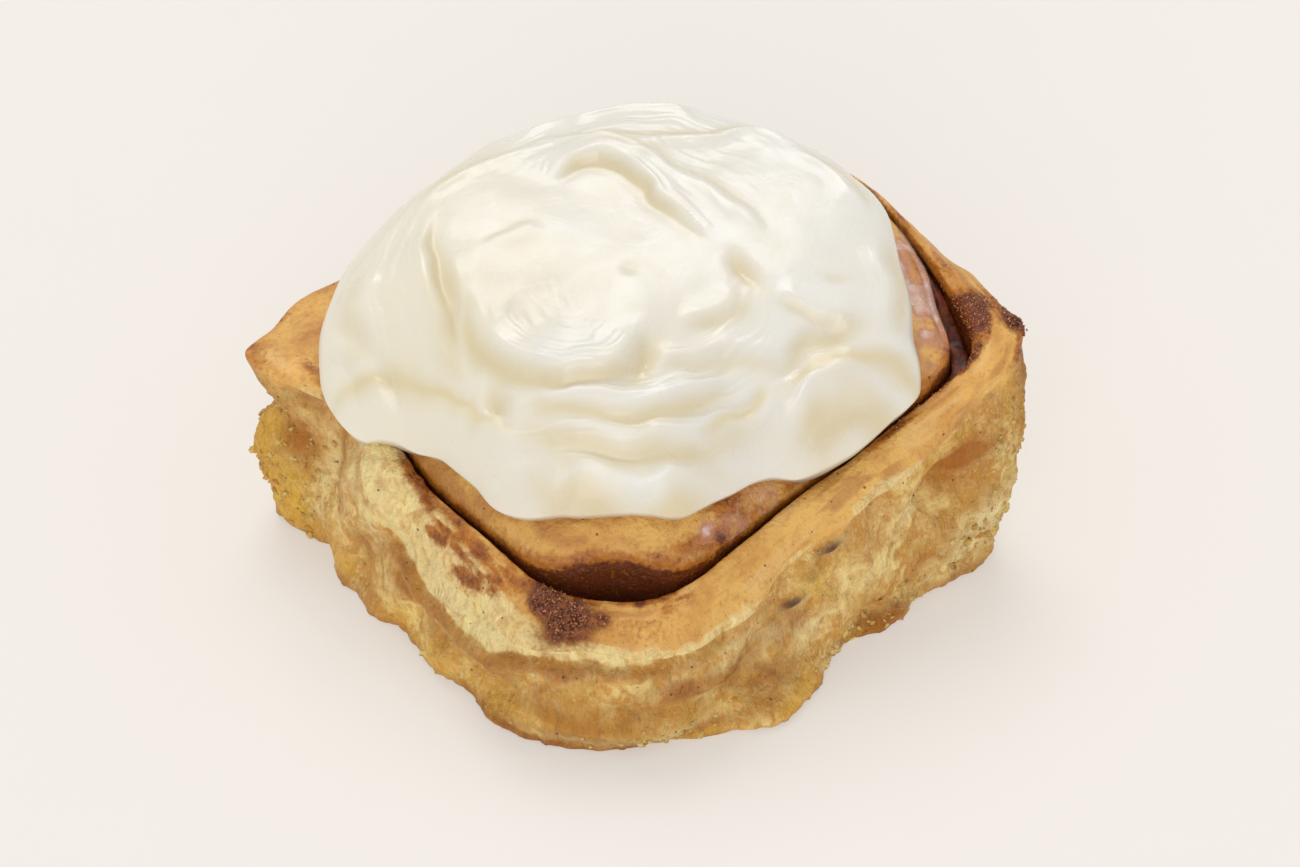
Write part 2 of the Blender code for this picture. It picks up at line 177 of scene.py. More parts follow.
def addPiece(name, points, quads, skin, masks=None, extra=(), stands=()):
    # one mesh object at the origin, riding on the root body; masks are RGBA values at the points
    points = np.asarray(points, float).reshape(-1, 3)
    faces = np.asarray(quads)
    if outward(points, faces) < 0:
        faces = faces[:, ::-1]
        extra = [f[::-1] for f in extra]
    loops = np.concatenate([faces.ravel()] + [np.asarray(f) for f in extra]).astype(np.int32)
    totals = np.concatenate([np.full(len(faces), faces.shape[1]), [len(f) for f in extra]]).astype(np.int32)
    starts = np.concatenate([[0], np.cumsum(totals)[:-1]]).astype(np.int32)
    data = bpy.data.meshes.new(name)
    data.vertices.add(len(points))
    data.vertices.foreach_set("co", (points * mm).astype(np.float32).ravel())
    data.loops.add(len(loops))
    data.loops.foreach_set("vertex_index", loops)
    data.polygons.add(len(totals))
    data.polygons.foreach_set("loop_start", starts)
    data.update(calc_edges=True)
    for maskName, values in (masks or {}).items():
        layer = data.attributes.new(maskName, "FLOAT_COLOR", "POINT")
        layer.data.foreach_set("color", np.clip(values, 0, 1).reshape(-1, 4).astype(np.float32).ravel())
    data.shade_smooth()
    data.validate()
    data.materials.append(skin)
    piece = bpy.data.objects.new(name, data)
    bpy.context.scene.collection.objects.link(piece)
    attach(piece, "root")
    if stands:
        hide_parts(*stands)
    data.calc_loop_triangles()
    print(name, len(data.loop_triangles), "triangles")
    return piece


# Shader helpers

def addNode(tree, kind, links=None, **settings):
    # a node with these settings; links say input: the socket to link it to, or its plain value
    made = tree.nodes.new(kind)
    for key, value in settings.items():
        setattr(made, key, value)
    for key, source in (links or {}).items():
        if hasattr(source, "is_output"):
            tree.links.new(source, made.inputs[key])
        else:
            made.inputs[key].default_value = source
    return made


def mixColour(tree, share, low, high):
    # low * (1 - share) + high * share, for colours or sockets
    low, high = (c if hasattr(c, "is_output") else (*c, 1.0) for c in (low, high))
    made = addNode(tree, "ShaderNodeMix", {0: share, 6: low, 7: high}, data_type="RGBA", clamp_factor=True)
    return made.outputs[2]


def mathNode(tree, operation, a, b=0.0, c=0.0, clamp=False):
    # operation of a, b and c, held at 0 and 1 where clamp is set
    made = addNode(tree, "ShaderNodeMath", {0: a, 1: b, 2: c}, operation=operation, use_clamp=clamp)
    return made.outputs[0]


def times(tree, a, b, clamp=False):
    # a * b
    return mathNode(tree, "MULTIPLY", a, b, clamp=clamp)


def timesPlus(tree, a, b, c, clamp=False):
    # a * b + c
    return mathNode(tree, "MULTIPLY_ADD", a, b, c, clamp=clamp)


def plus(tree, a, b):
    # a + b
    return mathNode(tree, "ADD", a, b)


def minus(tree, a, b):
    # a - b
    return mathNode(tree, "SUBTRACT", a, b)


def spread(tree, value, low, high, outLow=0.0, outHigh=1.0):
    # eases from outLow to outHigh as value goes from low to high
    made = addNode(tree, "ShaderNodeMapRange", {"Value": value, "From Min": low, "From Max": high,
                                                "To Min": outLow, "To Max": outHigh},
                   interpolation_type="SMOOTHSTEP")
    return made.outputs[0]


def noiseNode(tree, where, scale, detail=3.0, rough=0.5, warp=0.0):
    # layered noise from 0 to 1, with scale waves to the metre
    return addNode(tree, "ShaderNodeTexNoise", {"Vector": where, "Scale": scale, "Detail": detail,
                                               "Roughness": rough, "Distortion": warp}).outputs[0]


def colour(r, g, b):
    # sRGB 0-255 to linear
    v = np.array([r, g, b]) / 255.0
    return tuple(float(x) for x in np.where(v <= 0.04045, v / 12.92, ((v + 0.055) / 1.055) ** 2.4))


def twoTone(tree, value, low, high, first, second):
    # eases from the first colour to the second as value goes from low to high
    return mixColour(tree, spread(tree, value, low, high), colour(*first), colour(*second))


def layTints(tree, tone, *tints):
    # lays each colour over the tone, up to its most, as its value goes from low to high
    for value, low, high, most, tint in tints:
        tone = mixColour(tree, spread(tree, value, low, high, 0.0, most), tone, colour(*tint))
    return tone


def vectorNode(tree, vector, factors, operation="MULTIPLY"):
    # vector * factors, or vector + factors
    return addNode(tree, "ShaderNodeVectorMath", {0: vector, 1: factors}, operation=operation).outputs[0]


def startGroup(name, inputs, outputs):
    # an empty group with these inputs (name: kind and value) and plain number outputs, and its two end nodes
    group = bpy.data.node_groups.new(name, "ShaderNodeTree")
    for key, (kind, value) in inputs.items():
        made = group.interface.new_socket(key, in_out="INPUT", socket_type=kind)
        if value is not None:
            made.default_value = value
    for key in outputs:
        group.interface.new_socket(key, in_out="OUTPUT", socket_type="NodeSocketFloat")
    return group, group.nodes.new("NodeGroupInput"), group.nodes.new("NodeGroupOutput")


def makeSpeckGroup():
    # spice specks: 1 within 0.08 to 0.3 of a cell from the points of the chosen cells, 0 elsewhere
    group, enter, leave = startGroup("spiceSpecks", {
        "Vector": ("NodeSocketVector", None), "Scale": ("NodeSocketFloat", 700.0),
        "Amount": ("NodeSocketFloat", 0.5),
    }, ("Specks",))
    where, scale = enter.outputs["Vector"], enter.outputs["Scale"]
    dots = addNode(group, "ShaderNodeTexVoronoi", {"Vector": where, "Scale": scale})
    split = addNode(group, "ShaderNodeSeparateColor", {"Color": dots.outputs["Color"]})
    chosen = mathNode(group, "GREATER_THAN", enter.outputs["Amount"], split.outputs[0])
    radius = timesPlus(group, split.outputs[1], 0.22, 0.08)
    inside = minus(group, radius, dots.outputs["Distance"])
    soft = spread(group, inside, 0.0, 0.06)
    group.links.new(times(group, chosen, soft), leave.inputs["Specks"])
    return group


def makeCrumbGroup():
    # crumb height = rounded cells / 2 + fine fuzz - pores, on warped coordinates
    group, enter, leave = startGroup("crumbRelief", {
        "Vector": ("NodeSocketVector", None), "Scale": ("NodeSocketFloat", 900.0),
        "Pores": ("NodeSocketFloat", 0.5),
    }, ("Height", "Pore"))
    where, size = enter.outputs["Vector"], enter.outputs["Scale"]
    bigger = times(group, size, 0.45)
    warp = addNode(group, "ShaderNodeTexNoise", {"Vector": where, "Scale": size, "Detail": 2.0})
    shift = vectorNode(group, warp.outputs["Color"], (0.0009, 0.0009, 0.0009))
    warped = vectorNode(group, where, shift, "ADD")
    cells = addNode(group, "ShaderNodeTexVoronoi", {"Vector": warped, "Scale": size}, feature="SMOOTH_F1")
    holes = addNode(group, "ShaderNodeTexVoronoi", {"Vector": warped, "Scale": bigger})
    fuzz = noiseNode(group, where, size, 4.0, 0.65)
    pore = times(group, spread(group, holes.outputs["Distance"], 0.34, 0.1), enter.outputs["Pores"])
    height = timesPlus(group, cells.outputs["Distance"], 0.5, fuzz)
    group.links.new(minus(group, height, pore), leave.inputs["Height"])
    group.links.new(pore, leave.inputs["Pore"])
    return group


speckGroup = makeSpeckGroup()
crumbGroup = makeCrumbGroup()


def useGroup(tree, group, links):
    # places the group with its own values
    return addNode(tree, "ShaderNodeGroup", links, node_tree=group)


def startMaterial(name, roughness, scatter, scatterRadius, scatterScale=0.001, coat=0.0, specular=0.5):
    # a Principled material with these values: material, tree, shader, object coordinates
    skin = bpy.data.materials.new(name)
    skin.use_nodes = True
    tree = skin.node_tree
    shader = tree.nodes["Principled BSDF"]
    values = {
        "Roughness": roughness, "Subsurface Weight": scatter, "Subsurface Radius": scatterRadius,
        "Subsurface Scale": scatterScale, "Coat Weight": coat, "Coat Roughness": 0.12,
        "Specular IOR Level": specular,
    }
    for key, value in values.items():
        shader.inputs[key].default_value = value
    where = tree.nodes.new("ShaderNodeTexCoord").outputs["Object"]
    return skin, tree, shader, where


def maskNode(tree, name):
    # the four channels of a painted mask
    source = addNode(tree, "ShaderNodeAttribute", attribute_name=name, attribute_type="GEOMETRY")
    parts = addNode(tree, "ShaderNodeSeparateColor", {"Color": source.outputs["Color"]})
    return parts.outputs[0], parts.outputs[1], parts.outputs[2], source.outputs["Alpha"]


def bumpNode(tree, shader, height, distance, strength=1.0):
    # relief: the normal tilted by the slope of height * distance
    made = addNode(tree, "ShaderNodeBump", {"Height": height, "Distance": distance, "Strength": strength})
    tree.links.new(made.outputs[0], shader.inputs["Normal"])


# The coil's form, the same named sizes as the CAD source

coil = {
    "shift": (-1.1, -2.8),    # of the middle from the frame's axis
    # the plan, a rounded square: direction and distance of its sides, sharpness of its corners
    "sides": ((221.8, 45.3), (310.5, 45.2), (33.7, 47.8), (135, 43.5)),
    "corners": {181.5: 16, 264: 3.7, 355: 16, 80: 3.4},
    "innerSharpness": 2.8,
    # by direction: how far the lip leans in, the height of the ring's lip and of its inner edge
    "lean": {0: 0.4, 20: 1.4, 60: 1.5, 120: 1.5, 160: 0.8, 175: 0, 181: 0.4, 186: 5, 191: 8, 197: 6.6,
        205: 4.2, 222: 3.2, 245: 2.6, 264: 1.6, 290: 2.6, 310: 3.2, 335: 2.6},
    "lip": {0: 42, 14: 43, 34: 42.5, 60: 36, 83: 31, 110: 34, 135: 37.5, 150: 37.4, 160: 36.2, 165: 35.8,
        172: 34.4, 181: 33.2, 197: 29.5, 213: 22.5, 236: 18.5, 261: 19, 284: 18.5, 298: 20.5, 321: 26.5,
        342: 32.5, 352: 38},
    "innerEdge": {0: 41.5, 10: 44, 28: 46.5, 45: 45, 60: 40, 83: 35.5, 110: 36.5, 135: 38, 150: 38,
        160: 36.8, 171: 35.2, 181: 34, 197: 30.5, 211: 27, 241: 25.5, 257: 23.5, 276: 23, 290: 24.8,
        308: 27, 330: 30.5, 344: 35},
    "crown": 1.1, "crownCurve": 1.4,
    # the inner turns: height at the centre, their rise above the ring's inner edge, how domed each is
    "centreHeight": 40.5,
    "rise": {0: 3, 100: 3, 180: 2.5, 215: 1.2, 240: 1.8, 268: 4.4, 292: 2.2, 315: 1.2, 340: 2},
    "dome": 2.4,
    # the strip: direction of its tail, share of the plan its inner wall takes by degrees wound
    "tail": 72,
    "winding": {0: 0.968, 60: 0.88, 84: 0.8, 108: 0.745, 128: 0.8, 150: 0.825, 190: 0.83, 235: 0.785,
        262: 0.8, 285: 0.89, 302: 0.92, 330: 0.93, 362: 0.91, 420: 0.71, 470: 0.57, 580: 0.53, 690: 0.59,
        725: 0.57, 790: 0.35, 870: 0.29, 1000: 0.3, 1075: 0.27, 1140: 0.12, 1200: 0.024, 1600: 0.024},
    "tuck": 26, "last": 1506,    # degrees over which the tail tucks in, and degrees wound at the centre
    "gap": 1.25, "tailGap": 0.6,
    # wider gap: direction, spread, how much
    "pits": ((267, 12, 3.4), (358, 8, 2.4), (80, 12, 1)),
    # the torn side's hollows and bulges: direction, spread, down, spread, how far out
    "features": ((341, 5, 0.3, 0.13, -4.2), (331, 6, 0.62, 0.15, 1.6), (340, 10, 0.97, 0.25, -3.6),
        (298, 8.5, 0.93, 0.14, 4.6), (318, 8, 0.95, 0.2, -1.6), (268, 13, 0.97, 0.16, -2.2),
        (278, 12, 0.55, 0.12, -1.4), (240, 13, 0.3, 0.12, 1.6), (234, 16, 0.62, 0.12, -1.6),
        (219, 9, 0.98, 0.3, -3), (203, 6, 0.8, 0.3, -2.6), (185.5, 8.5, 0.98, 0.34, -8.6),
        (190, 7, 0.45, 0.2, -2.4), (178, 7, 0.26, 0.14, -5.2), (172, 8, 0.75, 0.26, 1.2),
        (357, 7, 0.9, 0.22, -3.2), (20, 10, 0.6, 0.2, -2.2), (52, 12, 0.75, 0.2, 1.4),
        (88, 10, 0.35, 0.16, -2), (108, 12, 0.85, 0.15, 1.6), (140, 10, 0.5, 0.18, -2.6)),
    # its broad waves: how many round, turns from lip to base, phase, height
    "folds": ((9, 0.7, 0.4, 0.8), (17, 1.3, 2.1, 0.5), (29, -1.1, 4, 0.22), (41, 2.2, 1, 0.08)),
}


def planRadius(angle, scale=1.0):
    # rounded square: scale * (sum (cos(a - facing) / distance)^n)^(-1/n), rounder as scale shrinks
    sharpness = around(angle, coil["corners"])
    sharpness = sharpness + (coil["innerSharpness"] - sharpness) * ease((0.9 - scale) / 0.4)
    total = 0.0
    for facing, distance in coil["sides"]:
        total = total + (np.maximum(np.cos(np.radians(angle - facing)), 0.0) / distance) ** sharpness
    return scale * total ** (-1.0 / sharpness)


def windingScale(wound):
    # mean of the winding table over 32 degrees
    keys = sorted(coil["winding"])
    shares = [coil["winding"][k] for k in keys]
    wound = np.asarray(wound, float)
    return np.mean([np.interp(wound + s, keys, shares) for s in np.linspace(-16, 16, 9)], axis=0)


def stripWalls(wound):
    # inner wall = plan at this winding's share; outer wall = last turn's inner wall less the gap
    angle = wound + coil["tail"]
    inner = planRadius(angle, windingScale(wound))
    before = wound - 360.0
    extra = sum(size * bump(angle, facing, spreadOf) for facing, spreadOf, size in coil["pits"])
    firstTurn = ease((before - 60.0) / 60.0) * (1 - ease((before - 350.0) / 60.0))
    gap = coil["tailGap"] + (coil["gap"] - coil["tailGap"]) * ease(before / 80.0) + extra * firstTurn
    tucked = planRadius(angle, windingScale(before)) - gap
    outside = planRadius(angle)
    first = outside + (tucked - outside) * ease(before / coil["tuck"] + 1)
    return inner, np.where(wound < 360.0, first, tucked)


def ringScale(angle):
    # winding share of the ring's inner wall at this direction
    return windingScale((np.asarray(angle) - coil["tail"]) % 360.0)


def coilHeight(angle, radius):
    # rises from the ring's inner edge to the centre with the square of the distance
    edge = around(angle, coil["innerEdge"]) + around(angle, coil["rise"])
    share = np.clip(radius / planRadius(angle, ringScale(angle)), 0.0, 1.3)
    return coil["centreHeight"] + (edge - coil["centreHeight"]) * share**2


def ringHeight(angle, across):
    # inner edge to lip with a low crown between
    innerTop = around(angle, coil["innerEdge"])
    lip = around(angle, coil["lip"])
    crown = coil["crown"] * (1 - 0.8 * bump(angle, 172.0, 14.0))
    return innerTop + (lip - innerTop) * across ** coil["crownCurve"] + crown * 4 * across * (1 - across)


def tornRelief(angle, down):
    # named hollows and bulges plus broad waves, down from the lip (0) to the base (1)
    out = 0.0
    for place in coil["features"]:
        out = out + spot(angle, down, place)
    for waves, dips, phase, size in coil["folds"]:
        out = out + size * np.sin(np.radians(angle) * waves + dips * fullTurn * down + phase)
    return out


def standUp(radius, height, angle):
    # (distance, height) of the radial plane at this angle, as x, y, z
    a = np.radians(angle)
    x = radius * np.cos(a) + coil["shift"][0]
    y = radius * np.sin(a) + coil["shift"][1]
    return np.stack([x, y, height + 0 * radius], -1)


# Dough

dough = {
    "wall": 8, "rim": 4, "top": 24, "lipRound": 4, "side": 60, "foot": 4, "base": 6,   # points of a section
    "rimDrop": 1.4, "footIn": 2.2, "footShare": 0.035, "wallDrop": 1.5,    # mm, mm, share of the height, mm
    # degrees wound and mm per step
    "spacing": ((0, 0.8), (90, 0.66), (104, 0.47), (300, 0.47), (330, 0.66), (400, 0.9), (470, 1.1),
        (482, 0.72), (690, 0.72), (704, 1.4), (760, 3), (1600, 3)),
    # relief of the torn side: folds, stretched strands, rounded lumps, ragged crumbs, fine grain
    "fold": 0.5, "strand": 0.24, "lump": 0.1, "crumb": 0.8, "grain": 0.2,
    "foldSize": 10, "strandSize": 3.4, "lumpSize": 3, "crumbSize": 1.9, "grainSize": 0.8,
}


def doughStations():
    # equal steps of (strip length / spacing)
    fine = np.linspace(0.0, coil["last"], 6000)
    inner, outer = stripWalls(fine)
    step = np.interp(fine, *zip(*dough["spacing"]))
    line = np.radians(np.diff(fine)) * ((inner + outer) / 2 / step)[1:]
    travelled = np.concatenate([[0.0], np.cumsum(line)])
    return np.interp(np.linspace(0, travelled[-1], int(travelled[-1])), travelled, fine)


def stepsTo(count, whole=1):
    # count equal steps up to 1, or short of it by whole steps
    return (np.arange(1, count + 1) / (count + whole))[None]


def doughSections(wound):
    # every section as points at (radius, height), with their places across the top and down the side;
    # the outermost turn's form eases into the inner turns' as the strip winds in
    angle = (wound + coil["tail"])[:, None]
    inner, outer = (w[:, None] for w in stripWalls(wound))
    innerTop, lip = ringHeight(angle, 0.0), ringHeight(angle, 1.0)
    thin = np.minimum(1.0, (outer - inner) / 5.0)
    lean = thin * around(angle, coil["lean"])
    width = outer - lean - inner
    wall = (np.linspace(0, 1, dough["wall"]) ** 0.6)[None]
    rim = stepsTo(dough["rim"]) * np.pi / 2
    across = np.linspace(0.07, 0.95, dough["top"])[None]
    lipTurn = stepsTo(dough["lipRound"]) * np.pi / 2
    down = np.linspace(0.03, 1 - dough["footShare"], dough["side"])[None]
    foot = stepsTo(dough["foot"], 0)
    base = stepsTo(dough["base"])
    none = 0 * inner

    # outermost turn: wall, rounded rim, crowned top, lip, torn side, foot, base
    lipAcross = 0.95 + 0.05 * np.sin(lipTurn)
    reliefTop = thin * tornRelief(angle, 0.0 * across) * ease((across - 0.8) / 0.2)
    reliefLip = thin * tornRelief(angle, 0.02 * lipTurn)
    face = outer - lean * (1 - down) + thin * tornRelief(angle, down)
    footFace = outer + thin * tornRelief(angle, 1.0 + 0 * foot)
    heel, footIn = footFace[:, -1:], dough["footIn"] * thin
    ringRadius = np.concatenate([
        inner + 0 * wall,
        inner + 0.065 * width * (1 - np.cos(rim)),
        inner + across * width + reliefTop,
        inner + lipAcross * width + reliefLip,
        face,
        footFace - footIn * foot**1.5,
        (heel - footIn) + (inner - heel + footIn) * base,
    ], axis=1)
    rimFoot = innerTop - dough["rimDrop"]
    ringZ = np.concatenate([
        rimFoot * wall,
        rimFoot + dough["rimDrop"] * np.sin(rim),
        ringHeight(angle, across) + none,
        ringHeight(angle, lipAcross) - 0.03 * lip * (1 - np.cos(lipTurn)),
        lip * (1 - down),
        dough["footShare"] * lip * (1 - foot) ** 1.3,
        base * none,
    ], axis=1)

    # inner turns: two walls and a dome
    w = outer - inner
    domeRise = coil["dome"] * np.minimum(1.0, w / 8.0)
    edgeIn, edgeOut = coilHeight(angle, inner) - domeRise, coilHeight(angle, outer) - domeRise
    topCount = dough["rim"] + dough["top"] + dough["lipRound"]
    a = (0.5 - 0.5 * np.cos(np.pi * np.linspace(0.06, 0.94, topCount)))[None]
    dome = domeRise * (1 - np.abs(2 * a - 1) ** 3.4)
    drop = (np.linspace(1, 0.03, dough["side"]) ** 1.8)[None]
    coilRadius = np.concatenate([
        inner + 0 * wall, inner + a * w, outer + 0 * drop, outer + 0 * foot, outer + (inner - outer) * base,
    ], axis=1)
    coilZ = np.concatenate([
        (edgeIn - dough["wallDrop"]) * wall, edgeIn + (edgeOut - edgeIn) * a + dome,
        (edgeOut - dough["wallDrop"]) * drop, foot * none, base * none,
    ], axis=1)

    # where each point lies: 0 to 1 across the top, 0 to 1 down the side
    walls, sideAndFoot = 0 * wall, [1 + 0 * down, 1 + 0 * foot, 1 - base]
    acrossRing = np.concatenate([walls, 0.03 * rim, across, lipAcross, *sideAndFoot], axis=1)
    acrossCoil = np.concatenate([walls, a, *sideAndFoot], axis=1)
    footDown = 1 - dough["footShare"] + dough["footShare"] * foot
    downRing = np.concatenate([
        walls, 0 * rim, 0 * across, 0.02 * lipTurn, down, footDown, 1 + 0 * base], axis=1)
    turned = ease((wound - 350.0) / 40.0)[:, None]
    radius = ringRadius + (coilRadius - ringRadius) * turned
    z = ringZ + (coilZ - ringZ) * turned
    return {
        "angle": angle, "thin": thin, "turned": turned, "ring": 1 - turned,
        "points": standUp(radius, z, angle),
        "across": acrossRing + (acrossCoil - acrossRing) * turned, "down": downRing + 0 * turned,
    }


